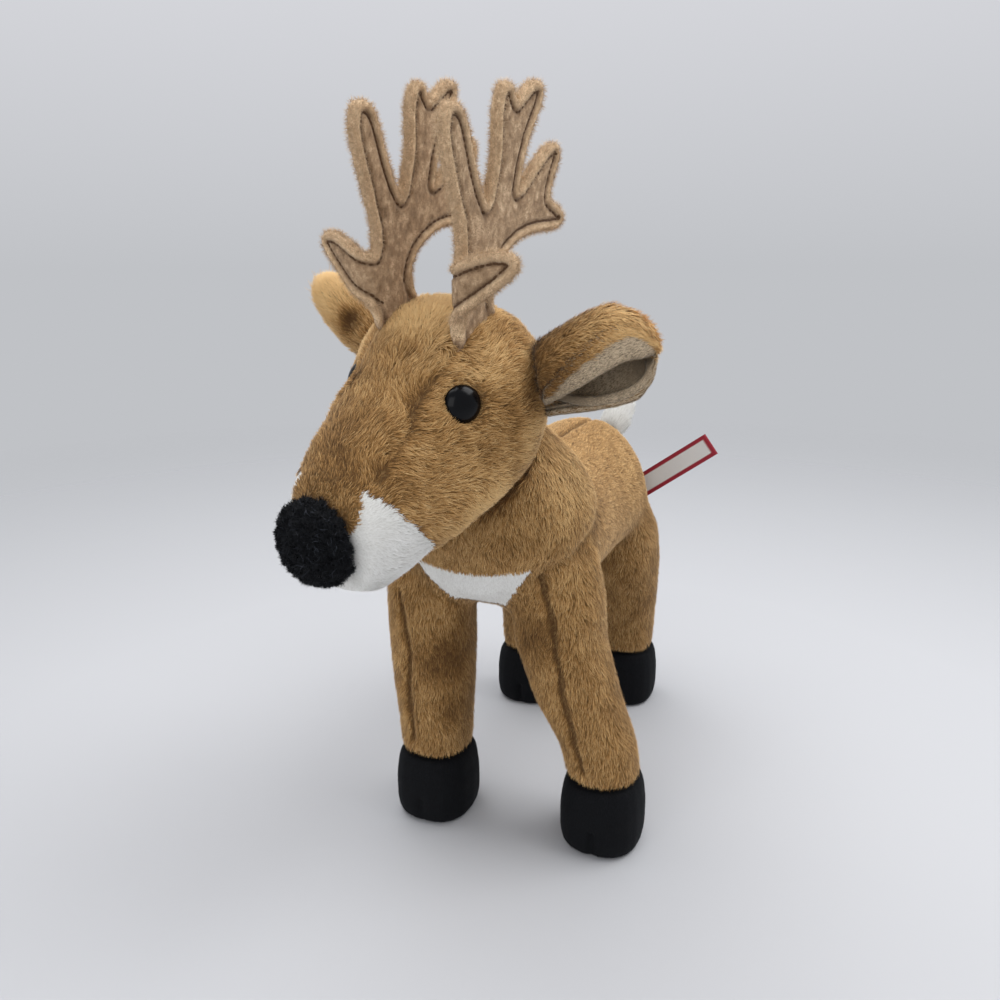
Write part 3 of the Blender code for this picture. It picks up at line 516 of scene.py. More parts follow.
for end in ("front", "hind"):
    for word, _ in SIDES:
        low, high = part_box(f"leg_{end}_{word}")
        for i in range(120):
            height = low.z + (high.z - low.z) * 0.62 * i / 120
            behind = Vector((low.x + (high.x - low.x) * 0.5, 0.3, height))
            found = body_tree.ray_cast(behind, Vector((0, -1, 0)))[0]
            back_seams += [found] if found is not None and abs(found.y - high.y) < 0.03 else []
for i in range(240):
    above = Vector((joint["tail_lift"]["pos_m"][0], 0.03 + 0.10 * i / 240, 0.4))
    found = body_tree.ray_cast(above, Vector((0, 0, -1)))[0]
    back_seams += [found] if found is not None else []
body_seams = np.concatenate([leg_seams, np.array([tuple(spot) for spot in back_seams])])
spots = points_of(body_skin)
hems = spots[spots[:, 2] < spots[:, 2].min() + 3 * MM]
body_skin = filled(body_skin, np.concatenate([body_seams, hems]))
spots = points_of(body_skin)
filled_tree = tree_of(body_skin)
grooves = -BODY_GROOVE * near_line(spots, body_seams, SEAM_WIDTH)
body_skin = pushed(body_skin, grooves - LEG_DEEPER * near_line(spots, leg_seams, SEAM_WIDTH))
leg_seams = sunk(filled_tree, leg_seams, LEG_GROOVE)
body_seams = np.concatenate([sunk(filled_tree, body_seams[len(leg_seams):], BODY_GROOVE), leg_seams])
owner = owners(body_skin, body_nodes)
white_faces = np.isin(owner, (1, 2))
corners_of = [np.array(list(p.vertices)) for p in body_skin.polygons]
in_white = np.unique(np.concatenate([c for c, white in zip(corners_of, white_faces) if white]))
in_tan = np.unique(np.concatenate([c for c, white in zip(corners_of, white_faces) if not white]))
panel_edge = points_of(body_skin)[np.intersect1d(in_white, in_tan)]
# Painted light and shade on the body's coat: each entry is a place of the photograph, a reach and a tone
# darker where the head and the other legs shade them.
# offset. The upper neck side and the back are painted lighter where light falls, and the legs are painted
BODY_PAINTED_LIGHT_AND_SHADE = (
    (seen_at(body_tree, 566, 478), 18 * MM, 0.36),
    (seen_at(body_tree, 630, 480), 20 * MM, 0.05),
    (seen_at(body_tree, 535, 632), 10 * MM, -0.36),
    (seen_at(body_tree, 446, 655), 12 * MM, -0.42),
    (seen_at(body_tree, 452, 710), 10 * MM, -0.30),
    (seen_at(body_tree, 642, 600), 14 * MM, -0.16),
)


def body_flow(root, out):
    """Down the neck, chest and legs, and back along the spine; it parts at the seams."""
    down = np.tile([0.0, 0.05, -1.0], (len(root), 1))
    back = np.tile([0.0, 1.0, -0.25], (len(root), 1))
    high = ((root[:, 2] - 0.115) / 0.03).clip(0, 1)[:, None]
    behind = ((root[:, 1] + 0.02) / 0.03).clip(0, 1)[:, None]
    mix = high * behind
    gap, which = nearest(root, body_seams)
    parting = bell(gap, 2.2 * MM)[:, None]
    away = unit(root - body_seams[which])
    return down * (1 - mix) + back * mix + away * parting * 1.2 + swirl(root, 14 * MM, 34) * 0.25


def body_tone(root, out):
    # Random mottling, the painted light and shade above, and painted shade in the seams' grooves,
    # darkest along the legs' seams.
    return (0.06 * lumps(root, 9 * MM, 3) + 0.05 * lumps(root, 28 * MM, 4) + painted_light_and_shade(root, BODY_PAINTED_LIGHT_AND_SHADE)
            - 0.35 * near_line(root, body_seams, 1.0 * MM) - 0.7 * near_line(root, leg_seams, 1.1 * MM))


def body_reach(root, out):
    """Shorter at the hems, along the seams and beside the white panels."""
    hem = ((root[:, 2] - 0.031) / 0.006).clip(0.35, 1)
    by_seam = 1 - 0.66 * near_line(root, body_seams, 1.5 * MM)
    return hem * by_seam * (1 - 0.5 * near_line(root, panel_edge, 3 * MM))


blends = {"neck": ("torso", "neck", (0.0, -0.03, 0.135), (0.0, -0.045, 0.165))}
for end in ("front", "hind"):
    for word, _ in SIDES:
        leg = f"leg_{end}_{word}"
        hip = Vector(joint[f"leg_swing_{end}_{word}"]["pos_m"])
        blends[leg] = ("torso", leg, hip - Vector((0, 0, 0.004)), hip - Vector((0, 0, 0.040)))
for index, name in enumerate(body_nodes):
    white = name.endswith("panel")
    skin = part_of(body_skin, owner == index, name + "_skin", white_ground if white else tan_ground)
    if white:
        # light=0.35 is painted light: it brightens the white panels, lifting them out of the head's shade.
        coats = [pile(name + "_pile", skin.data, white_pile, per_mm2=7.0, length=1.7 * MM, width=0.2 * MM,
                      flow=body_flow, seed=20 + index, lift=0.3, light=0.35, clump=0.0)]
    else:
        dense = 4.5 if name in ("neck", "leg_front_left", "leg_front_right") else 3.4
        layers = ("_pile", "_under_pile") if name == "torso" else ("_pile",)
        coats = [pile(name + layer, skin.data, tan_pile, per_mm2=dense / len(layers), length=4.2 * MM,
                      width=0.23 * MM, flow=body_flow, seed=20 + index + 30 * turn, tone=body_tone,
                      reach=body_reach, clump=0.3)
                 for turn, layer in enumerate(layers)]
    for piece in [skin] + coats:
        if name in blends:
            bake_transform(piece)
        else:
            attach(piece, "torso")
    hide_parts(name)


# Head: forehead gusset and cheeks in one skin with the white muzzle, which is cut off it along its seam.
# The gusset's seams draw the skin in and part its pile; the pile is clipped round the eyes.
HEAD_SWELL = 0.6 * MM
HEAD_DEPTH = 1.0 * MM
EYE_RADIUS = 6.6 * MM
LID_RISE = 0.8 * MM
CHEEK_RISE = 2.8 * MM
GUSSET_GROOVE = 0.9 * MM
GUSSET_SEAM = ((462, 339), (441, 368), (414, 406), (408, 430), (393, 448), (377, 489))
CHEEK_RIM = ((522, 430), (516, 456), (492, 484), (455, 516))
head_at = np.array(joint["head_nod"]["pos_m"])
head_axes = np.array([joint[name]["axis"] for name in ("head_nod", "antler_lean_left", "ear_flop_left")])


def in_head(points):
    """Points as sideways, backward and upward distances from the middle of the ears' line."""
    return (np.asarray(points) - head_at) @ head_axes.T


def both_sides(points, farther=1.0):
    """A head's points with their mirror images, which can lie farther out."""
    local = in_head(points)
    return np.concatenate([points, (local * np.array([-farther, 1, 1])) @ head_axes + head_at])


head_nodes = ["head", "muzzle"]
head_skin = relaxed(remeshed(merged("head_skin", head_nodes, HEAD_SWELL), voxel=1.3 * MM), times=9)
head_skin = pushed(head_skin, -HEAD_SWELL - HEAD_DEPTH)
head_tree = tree_of(head_skin)
gusset_seams = both_sides(seam(head_tree, GUSSET_SEAM), farther=1.22)
gusset_seams = np.array([tuple(head_tree.find_nearest(Vector(spot))[0]) for spot in gusset_seams])
eye_middles = [sum(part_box("eye_" + word), Vector()) / 2 for word, _ in SIDES]
head_skin = filled(head_skin, np.concatenate([gusset_seams, np.array([tuple(m) for m in eye_middles])]))
spots = points_of(head_skin)
raised = LID_RISE * bell(np.min([gap_to(spots, m) for m in eye_middles], axis=0), 8 * MM)
raised += CHEEK_RISE * near_line(spots, both_sides(seam(head_tree, CHEEK_RIM)), 10 * MM)
filled_tree = tree_of(head_skin)
head_skin = pushed(head_skin, raised - GUSSET_GROOVE * near_line(spots, gusset_seams, 2.0 * MM))
gusset_seams = sunk(filled_tree, gusset_seams, GUSSET_GROOVE)
head_tree = tree_of(head_skin)


def mirrored(areas):
    """The same areas on both sides of the head."""
    made = []
    for pixel, reach, amount in areas:
        spot = np.array([tuple(seen_at(head_tree, *pixel))])
        made += [(m, reach, amount) for m in both_sides(spot)]
    return made


# Painted light and shade on the head's coat, the same on both sides: the crown and the cheeks' lower
# of the crown are painted darker where they lie in shade.
# rims are painted lighter where light falls on them, and the snout, the places round the eyes and the back
HEAD_PAINTED_LIGHT_AND_SHADE = mirrored((
    ((420, 308), 16 * MM, 0.52),
    ((365, 345), 12 * MM, 0.26),
    ((345, 455), 15 * MM, -0.18),
    ((398, 366), 9 * MM, -0.06),
    ((505, 406), 9 * MM, -0.22),
    ((480, 330), 10 * MM, -0.20),
    ((510, 330), 9 * MM, -0.16),
    ((445, 300), 9 * MM, 0.2),
    ((527, 398), 7 * MM, -0.22),
    ((488, 497), 9 * MM, 0.45),
    ((526, 432), 7 * MM, 0.30),
    ((455, 522), 8 * MM, 0.25),
    ((465, 406), 9 * MM, -0.16),
))


def head_flow(root, out):
    """Back from the nose; over the forehead it also lifts, and on the cheeks it falls away."""
    local = in_head(root)
    side = np.sign(local[:, 0])
    cheek = (np.abs(local[:, 0]) / (16 * MM)).clip(0, 1)
    low = (-local[:, 2] / (30 * MM)).clip(-0.6, 1)
    way = np.stack([side * 0.35 * cheek, np.ones(len(root)), 0.35 * (1 - cheek) - 0.45 * cheek * low], 1)
    gap, which = nearest(root, gusset_seams)
    away = unit(root - gusset_seams[which])
    near = bell(gap, 5 * MM)[:, None]
    return (way @ head_axes) * (1 - 0.45 * near) + away * near * 0.6 + 0.45 * swirl(root, 17 * MM, 31)


def head_tone(root, out):
    # Random mottling, the painted light and shade above, and painted shade in the gusset seams' grooves.
    return (0.07 * lumps(root, 6 * MM, 5) + 0.06 * lumps(root, 20 * MM, 6) + painted_light_and_shade(root, HEAD_PAINTED_LIGHT_AND_SHADE)
            - 0.24 * near_line(root, gusset_seams, 1.3 * MM))


def head_reach(root, out):
    """Clipped short round the eyes and where the nose sits."""
    short = np.ones(len(root))
    for middle in eye_middles:
        short *= ((gap_to(root, middle) - 5.0 * MM) / (7 * MM)).clip(0.25, 1)
    snout = ((in_head(root)[:, 1] + 74 * MM) / (16 * MM)).clip(0.45, 1)
    return short * snout * (1 - 0.25 * near_line(root, gusset_seams, 2 * MM))


def off_eyes(root, out):
    return np.prod([gap_to(root, m) > EYE_RADIUS + 0.1 * MM for m in eye_middles], axis=0)


is_muzzle = owners(head_skin, head_nodes) == 1
cheeks = part_of(head_skin, ~is_muzzle, "head_skin", tan_ground)
snout = part_of(head_skin, is_muzzle, "muzzle_skin", white_ground)
cheek_coats = [pile(name, cheeks.data, tan_pile, per_mm2=2.7, length=4.8 * MM, width=0.27 * MM,
                    flow=head_flow, seed=seed, tone=head_tone, reach=head_reach, only=off_eyes, clump=0.4)
               for name, seed in (("head_pile", 41), ("head_under_pile", 43))]
snout_coat = pile("muzzle_pile", snout.data, white_pile, per_mm2=8.0, length=3.2 * MM, width=0.2 * MM,
                  flow=head_flow, seed=42, lift=0.3, light=0.3, reach=head_reach, clump=0.1)
for piece in [cheeks] + cheek_coats:
    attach(piece, "head")
for piece in (snout, snout_coat):
    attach(piece, "head")
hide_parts("head")
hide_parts("muzzle")


# Eyes: moulded domes of polished black plastic on shanks, which go through the head's cloth and are locked
# behind it by washers. The domes are turned smooth here, and the washers stay as they are.
EYE_RISE = 4.2 * MM
EYE_SUNK = {"left": 0.3 * MM, "right": 2.2 * MM}
EYE_SHANK = [(EYE_RADIUS, -0.4 * MM), (5.9 * MM, -1.0 * MM), (1.7 * MM, -1.0 * MM), (1.7 * MM, -10.8 * MM),
             (1.2 * MM, -11.4 * MM)]
DOME_RINGS = 14
EYE_SIDES = 48
eye_finish = material("eye_gloss", 0.2, specular=0.16)
shader_of(eye_finish).inputs["Base Color"].default_value = (*linear(5, 6, 9), 1.0)
washer_finish = cloth_material("washer_matte", (196, 196, 190), (214, 214, 208), scale=400.0, roughness=0.45,
                               sheen=0.0, bump=0.05)
for word, _ in SIDES:
    co = points_of(nodes["eye_" + word].data)
    washer = nodes["eye_washer_" + word]
    hub = points_of(washer.data).mean(0)
    lookout = unit(co.mean(0) - hub)
    crown = hub + lookout * ((co - hub) @ lookout).max()
    seat = Vector(crown - lookout * (EYE_RISE + EYE_SUNK[word]))
    bends = [pi / 2 * i / DOME_RINGS for i in range(1, DOME_RINGS + 1)]
    dome = [(EYE_RADIUS * sin(bend), EYE_RISE * cos(bend)) for bend in bends]
    around = [(cos(tau * k / EYE_SIDES), sin(tau * k / EYE_SIDES)) for k in range(EYE_SIDES)]
    shell = bmesh.new()
    top = shell.verts.new((0, 0, EYE_RISE))
    rings = [[shell.verts.new((r * x, r * y, h)) for x, y in around] for r, h in dome + EYE_SHANK]
    for k in range(EYE_SIDES):
        after = (k + 1) % EYE_SIDES
        shell.faces.new((top, rings[0][k], rings[0][after]))
        for near, far in zip(rings[:-1], rings[1:]):
            shell.faces.new((near[k], far[k], far[after], near[after]))
    shell.faces.new(rings[-1][::-1])
    mesh = mesh_of(shell, "eye")
    mesh.transform(Matrix.Translation(seat) @ Vector(lookout).to_track_quat("Z", "Y").to_matrix().to_4x4())
    mesh.shade_smooth()
    eye = new_object(f"eye_{word}_dome", mesh, eye_finish)
    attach(eye, "head")
    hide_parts("eye_" + word)
    washer.data.materials.clear()
    washer.data.materials.append(washer_finish)


# Nose: a stuffed pad of black looped cloth sewn on the muzzle's tip, its surface broken up by curling
# loops and a few pale fibres.
black_ramp = ((0.0, (3, 4, 6)), (0.6, (9, 11, 15)), (1.0, (26, 29, 36)))
black_pile = pile_material("black_pile", black_ramp, black_ramp, sheen=0.02, sheen_tint=(0.8, 0.9, 1.0))
black_ground = cloth_material("black_ground", (5, 6, 9), (10, 12, 16), scale=1500.0, sheen=0.02)
fibre_ramp = ((0.0, (36, 40, 48)), (1.0, (104, 108, 118)))
pale_fibre = pile_material("pale_fibre", fibre_ramp, fibre_ramp, sheen=0.0)


def any_way(root, out):
    return np.random.default_rng(len(root)).normal(0, 1, root.shape)


nose_mesh = relaxed(remeshed(merged("nose", ["nose"], 0.0), voxel=0.8 * MM), times=6)
co = points_of(nose_mesh)
curls = 0.6 * MM * lumps(co, 2.8 * MM, 8) + 0.4 * MM * lumps(co, 1.4 * MM, 9)
nose_mesh = pushed(nose_mesh, curls - 0.3 * MM)
nose = new_object("nose_pad", nose_mesh, black_ground)
nose_loops = pile("nose_loops", nose.data, black_pile, per_mm2=9.0, length=2.3 * MM, width=0.26 * MM,
                  flow=any_way, seed=61, lift=0.9, clump=0.6, curl=0.5)
nose_fibres = pile("nose_fibres", nose.data, pale_fibre, per_mm2=0.16, length=4.2 * MM, width=0.10 * MM,
                   flow=any_way, seed=62, lift=0.5, clump=0.0, curl=0.8)
for piece in (nose, nose_loops, nose_fibres):
    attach(piece, "head")
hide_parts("nose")


# Ears: leaves of the tan plush, each sewn round its rim to a grey-beige velour lining. The left one opens
# forwards: its lining hangs over the hollow from the upper lip and is turned out over the lower one. The
# right one is turned down and shows its fur, with a small hollow near the head. Both hollows are painted
# dark as shade, and the right ear's coat is painted lighter as light.
FRINGE_SHARE = 0.12
LIP_TOP = ((546, 388), (571, 358), (593, 338), (606, 327), (628, 320), (649, 331), (657, 343))
LIP_EDGE = ((544, 407), (572, 393), (596, 379), (614, 368), (632, 360), (648, 360), (655, 352))
LOW_LIP = ((547, 409), (583, 406), (617, 401), (639, 392), (652, 374), (657, 356))
FAR_HOLLOW = (352, 325)
HOLLOW_DEPTH = 2.2 * MM
lining_ground = cloth_material("lining_ground", (116, 101, 82), (142, 127, 106), scale=1100.0, bump=0.5)
lining_cool = ((0.0, (92, 78, 61)), (0.5, (162, 144, 120)), (1.0, (230, 211, 182)))
lining_warm = ((0.0, (96, 80, 62)), (0.5, (168, 147, 119)), (1.0, (234, 213, 181)))
lining_pile = pile_material("lining_pile", lining_cool, lining_warm)


def seen_beside(spot, x, y):
    """The point at this place of the photograph that is as far from the camera as another one."""
    return camera_at + (camera_at - Vector(spot)).dot(camera_back) * sight(x, y)


def on_ear(tree, pixels, beside=None):
    """Points of an ear at places of the photograph, on its rim where they fall beside it."""
    found = []
    for pixel in pixels:
        hit = seen_at(tree, *pixel)
        if hit is None:
            hit = tree.find_nearest(seen_beside(found[-1] if beside is None else beside, *pixel))[0]
        found.append(hit)
    return found


def smoothed(line, count=40):
    """A line through a few points with many, evened out between its ends."""
    line = np.array([tuple(spot) for spot in line])
    places = np.linspace(0, len(line) - 1, count)
    line = np.stack([np.interp(places, np.arange(len(line)), line[:, k]) for k in range(3)], 1)
    for _ in range(12):
        line[1:-1] = (line[:-2] + 2 * line[1:-1] + line[2:]) / 4
    return line


def rolled(mesh, line, inward, half, thick):
    """Adds a flattened roll of cloth along a line, spreading inward from it."""
    inward = unit(inward)
    upright = unit(np.cross(unit(np.gradient(line, axis=0)), inward))
    edging = bmesh.new()
    edging.from_mesh(mesh)
    rings = []
    for turn in np.linspace(0, tau, 12, endpoint=False):
        swung = line + inward * (half * (1 + cos(turn)) - 0.8 * MM)[:, None] + upright * sin(turn) * thick
        rings.append([edging.verts.new(spot) for spot in swung])
    made = [edging.faces.new([ring[0] for ring in rings]), edging.faces.new([ring[-1] for ring in rings])]
    for near, far in zip(rings, rings[1:] + rings[:1]):
        for k in range(len(line) - 1):
            made.append(edging.faces.new((near[k], near[k + 1], far[k + 1], far[k])))
    bmesh.ops.recalc_face_normals(edging, faces=made)
    edging.to_mesh(mesh)
    edging.free()


for word, side in SIDES:
    fur_mesh = relaxed(remeshed(merged("ear", ["ear_" + word], 0.0), voxel=0.9 * MM), times=6)
    seat = np.array(joint["ear_flop_" + word]["pos_m"])
    reach_out = np.linalg.norm(points_of(fur_mesh) - seat, axis=1)
    ear_tip = points_of(fur_mesh)[reach_out.argmax()]
    span = reach_out.max()
    ear_way = unit(ear_tip - seat)
    ear_up = unit(head_axes[2] - ear_way * (head_axes[2] @ ear_way))
    lining_mesh = merged("lining", ["ear_lining_" + word], 0.15 * MM)
    fur_tree = tree_of(fur_mesh)
    if side > 0:
        lip_top = on_ear(fur_tree, LIP_TOP)
        lip_edge = np.array([seen_beside(top, *pixel) for top, pixel in zip(lip_top, LIP_EDGE)])
        lip_top, lip_edge = smoothed(lip_top), smoothed(lip_edge)
        drop = lip_edge - lip_top
        low_lip = smoothed(on_ear(fur_tree, LOW_LIP, beside=lip_top[0]))
        rolled(lining_mesh, low_lip, lip_top - low_lip, np.full(len(low_lip), 1.9 * MM), thick=1.5 * MM)
        rolled(lining_mesh, lip_top, drop, np.linalg.norm(drop, axis=1) / 2 + 0.4 * MM, thick=1.7 * MM)
    lining_mesh = relaxed(remeshed(lining_mesh, voxel=0.6 * MM), times=6)
    lining_tree = tree_of(lining_mesh)
    hollow = seen_at(fur_tree, *FAR_HOLLOW) if side < 0 else None
    if hollow is not None:
        hollow = np.array(hollow)
        fur_mesh = pushed(fur_mesh, -HOLLOW_DEPTH * bell(gap_to(points_of(fur_mesh), hollow), 4 * MM))

    def outside(root, out):
        """Only the side that the lining doesn't cover, and not the lower lip."""
        keep = []
        for r, o in zip(root, out):
            at, _, _, gap = lining_tree.find_nearest(Vector(r))
            free = gap > 1.2 * MM or Vector(o).dot(at - Vector(r)) < 0
            lip = gap < 3.6 * MM and (r - seat) @ ear_up < -4 * MM
            keep.append(free and not lip)
        return np.array(keep, float)

    def lower_lip(root, out):
        """Where the velour is turned out over the lip."""
        keep = []
        for r in root:
            gap = lining_tree.find_nearest(Vector(r))[3]
            keep.append(gap < 3.8 * MM and (r - seat) @ ear_up < -4 * MM)
        return np.array(keep, float)

    def ear_tone(root, out):
        along = ((root - seat) @ ear_way / span).clip(0, 1)
        tone = 1.05 * along**1.8 - 0.26 + 0.06 * lumps(root, 8 * MM, 12)
        # On the right ear the coat is painted lighter all over, as painted light, and darker in its hollow,
        # as painted shade.
        return tone if hollow is None else tone + 0.42 + painted_light_and_shade(root, ((hollow, 5 * MM, -1.2),))

    def under_fringe(root, out):
        """Where the outside's fur hangs over the lip."""
        return near_line(root, lip_top + drop * FRINGE_SHARE, 4.5 * MM) > 0.5

    def ear_reach(root, out):
        """Longer at the tip."""
        return 1 + 0.9 * ((root - seat) @ ear_way / span).clip(0, 1) ** 4

    def lining_tone(root, out):
        """Pale, with painted shade in the hollow behind the hanging lip."""
        tone = 0.34 + 0.05 * lumps(root, 6 * MM, 13)
        if side < 0:
            return tone
        return tone - 0.8 * near_line(root, lip_edge - np.array(camera_back) * 8 * MM, 6 * MM)

    def ear_flow(root, out):
        """Out to the tip, and down over the hanging lip."""
        way = np.tile(ear_way, (len(root), 1)) + out * 0.2
        if side < 0:
            return way
        return way + unit(drop).mean(0) * 0.9 * near_line(root, lip_top, 4 * MM)[:, None]

    ear = new_object("ear_fur_" + word, fur_mesh, tan_ground)
    coat = pile(f"ear_{word}_pile", fur_mesh, tan_pile, per_mm2=6.0, length=3.8 * MM, width=0.24 * MM,
                flow=ear_flow, seed=70 + side, tone=ear_tone, only=outside, reach=ear_reach, clump=0.3)
    lip = pile(f"ear_{word}_lip_pile", fur_mesh, lining_pile, per_mm2=10.0, length=1.4 * MM, width=0.22 * MM,
               flow=ear_flow, seed=75 + side, light=0.2, only=lower_lip, velour=True)
    lining = new_object("ear_velour_" + word, lining_mesh, lining_ground)
    velour = pile(f"ear_{word}_velour_pile", lining_mesh, lining_pile, per_mm2=12.0, length=1.1 * MM,
                  width=0.17 * MM, flow=ear_flow, seed=80 + side, tone=lining_tone, velour=True)
    if side > 0:
        fringe = pile("ear_left_fringe", lining_mesh, tan_pile, per_mm2=7.0, length=4.0 * MM, width=0.24 * MM,
                      flow=ear_flow, seed=85, lift=0.25, tone=ear_tone, only=under_fringe, clump=0.3,
                      light=-0.15)
        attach(fringe, "ear_left")
    for piece, slot in ((ear, "tan_plush"), (coat, "tan_plush"), (lip, "lining"), (lining, "lining"),
                        (velour, "lining")):
        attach(piece, "ear_" + word)
    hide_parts("ear_" + word)
    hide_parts("ear_lining_" + word)


# Hooves: clipped black velour over a stuffed foot, sewn to the leg's end and split in front by its seam.
# All four are made alike.
def downwards(root, out):
    return np.tile([0.0, 0.0, -1.0], (len(root), 1))


for end in ("front", "hind"):
    for word, side in SIDES:
        name = f"hoof_{end}_{word}"
        mesh = relaxed(remeshed(merged(name, [name], 0.0), voxel=1.0 * MM), times=8)
        mesh = pushed(mesh, -0.2 * MM)
        hoof = new_object(name + "_velour", mesh, black_ground)
        coat = pile(name + "_pile", mesh, black_pile, per_mm2=6.0, length=1.1 * MM, width=0.2 * MM,
                    flow=downwards, seed=90 + side, clump=0.1, velour=True)
        for piece in (hoof, coat):
            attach(piece, f"leg_{end}_{word}")
        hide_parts(name)


# Tail: a short white tuft of longer pile over a slack filling, sewn on at its root. The strands stand
# away from that root.
TAIL_DEPTH = 2.4 * MM
tail_mesh = relaxed(remeshed(merged("tail", ["tail"], 0.0), voxel=1.4 * MM), times=4)
tail_mesh = pushed(tail_mesh, -TAIL_DEPTH)
tail_seat = np.array(joint["tail_lift"]["pos_m"])
tail = new_object("tail_skin", tail_mesh, white_ground)
tail_coat = pile("tail_pile", tail_mesh, white_pile, per_mm2=6.0, length=4.6 * MM, width=0.22 * MM,
                 flow=lambda root, out: root - tail_seat, seed=97, light=0.1)
for piece in (tail, tail_coat):
    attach(piece, "tail")
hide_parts("tail")


# Antlers: two soft felts sewn together. The sewing line runs a little inside the edge and draws them in,
# so that the rim stands out as a soft roll; dark stitches follow the line and pale fuzz covers the rim. The
# felt and its fuzz are painted darker along the sewing line, as painted shade in its groove, and lighter on
# the rim, partly paler fuzz and partly painted highlight on the roll.
SEWN_IN = 3.0 * MM
STITCH_PITCH = 2.2 * MM
STITCH_HALF = (0.95 * MM, 0.48 * MM, 0.38 * MM)
RIM_STEP = 0.35 * MM
RIM_CLEAR = 6.5 * MM
STITCH_CLEAR = 7 * MM
ROOTED = 9 * MM
felt = material("felt", 0.95, 0.35, (1.0, 0.9, 0.78))
tree = felt.node_tree
place = added(tree, "TexCoord")
mottle = added(tree, "TexNoise", Scale=330.0, Detail=3.0, Roughness=0.55)
stretch = added(tree, "Mapping", Scale=(1.0, 1.0, 0.75))
face_colour = ramp(tree, ((0.30, (128, 102, 75)), (0.50, (182, 153, 121)), (0.70, (224, 196, 161))))
# The rim's lighter colour is partly paler fuzz and partly a painted highlight on the rolled edge.
rim_colour = ramp(tree, ((0.30, (204, 174, 137)), (0.70, (240, 212, 173))))
# Painted shade: the felt is darker along the sewing line's groove, by its sewn attribute.
groove_shade_colour = ramp(tree, ((0.0, (78, 55, 36)), (1.0, (104, 76, 53))))
rim_at, groove_shade_at = added(tree, "Attribute"), added(tree, "Attribute")
rim_at.attribute_name = "rim"
groove_shade_at.attribute_name = "sewn"
lump = added(tree, "Bump", Strength=0.5, Distance=0.4 * MM)
wired(tree, (place, "Object", stretch, "Vector"), (stretch, "Vector", mottle, "Vector"),
      (mottle, "Fac", face_colour, "Fac"), (mottle, "Fac", rim_colour, "Fac"),
      (mottle, "Fac", groove_shade_colour, "Fac"), (mottle, "Fac", lump, "Height"))
felt_colour = mixed(tree, (rim_at, "Fac"), (face_colour, "Color"), (rim_colour, "Color"))
felt_colour = mixed(tree, (groove_shade_at, "Fac"), (felt_colour, "Result"), (groove_shade_colour, "Color"))
wired(tree, (felt_colour, "Result", shader_of(felt), "Base Color"),
      (lump, "Normal", shader_of(felt), "Normal"))
felt_pile = pile_material("felt_pile", ((0.0, (112, 88, 64)), (0.5, (164, 137, 108)), (1.0, (222, 197, 164))),
                          ((0.0, (120, 90, 62)), (0.5, (174, 141, 106)), (1.0, (228, 198, 158))))
thread = cloth_material("thread", (70, 49, 32), (98, 72, 49), scale=2500.0, sheen=0.1)


def outlines(node):
    """The sharp outlines of a cut felt, as lines of points in order."""
    solid = bmesh.new()
    solid.from_mesh(nodes[node].data)
    bmesh.ops.remove_doubles(solid, verts=solid.verts[:], dist=WELD)
    solid.edges.index_update()
    sharp = [e for e in solid.edges if len(e.link_faces) == 2 and e.calc_face_angle(0) > radians(55)]
    unused = {e.index for e in sharp}
    lines = []
    for edge in sharp:
        if edge.index not in unused:
            continue
        unused.discard(edge.index)
        line = list(edge.verts)
        for _ in range(2):
            line.reverse()
            onward = [e for e in line[-1].link_edges if e.index in unused]
            while onward:
                unused.discard(onward[0].index)
                line.append(onward[0].other_vert(line[-1]))
                onward = [e for e in line[-1].link_edges if e.index in unused]
        lines.append(np.array([tuple(v.co) for v in line]))
    solid.free()
    return [line for line in lines if len(line) > 3]


def stepped(line, pitch):
    """Points along a line at one pitch, with the line's direction at each."""
    runs = np.linalg.norm(np.diff(line, axis=0), axis=1)
    at = np.concatenate([[0], np.cumsum(runs)])
    places = np.arange(0, at[-1], pitch)
    points = np.stack([np.interp(places, at, line[:, k]) for k in range(3)], 1)
    return points, unit(np.gradient(points, axis=0)) if len(points) > 1 else points


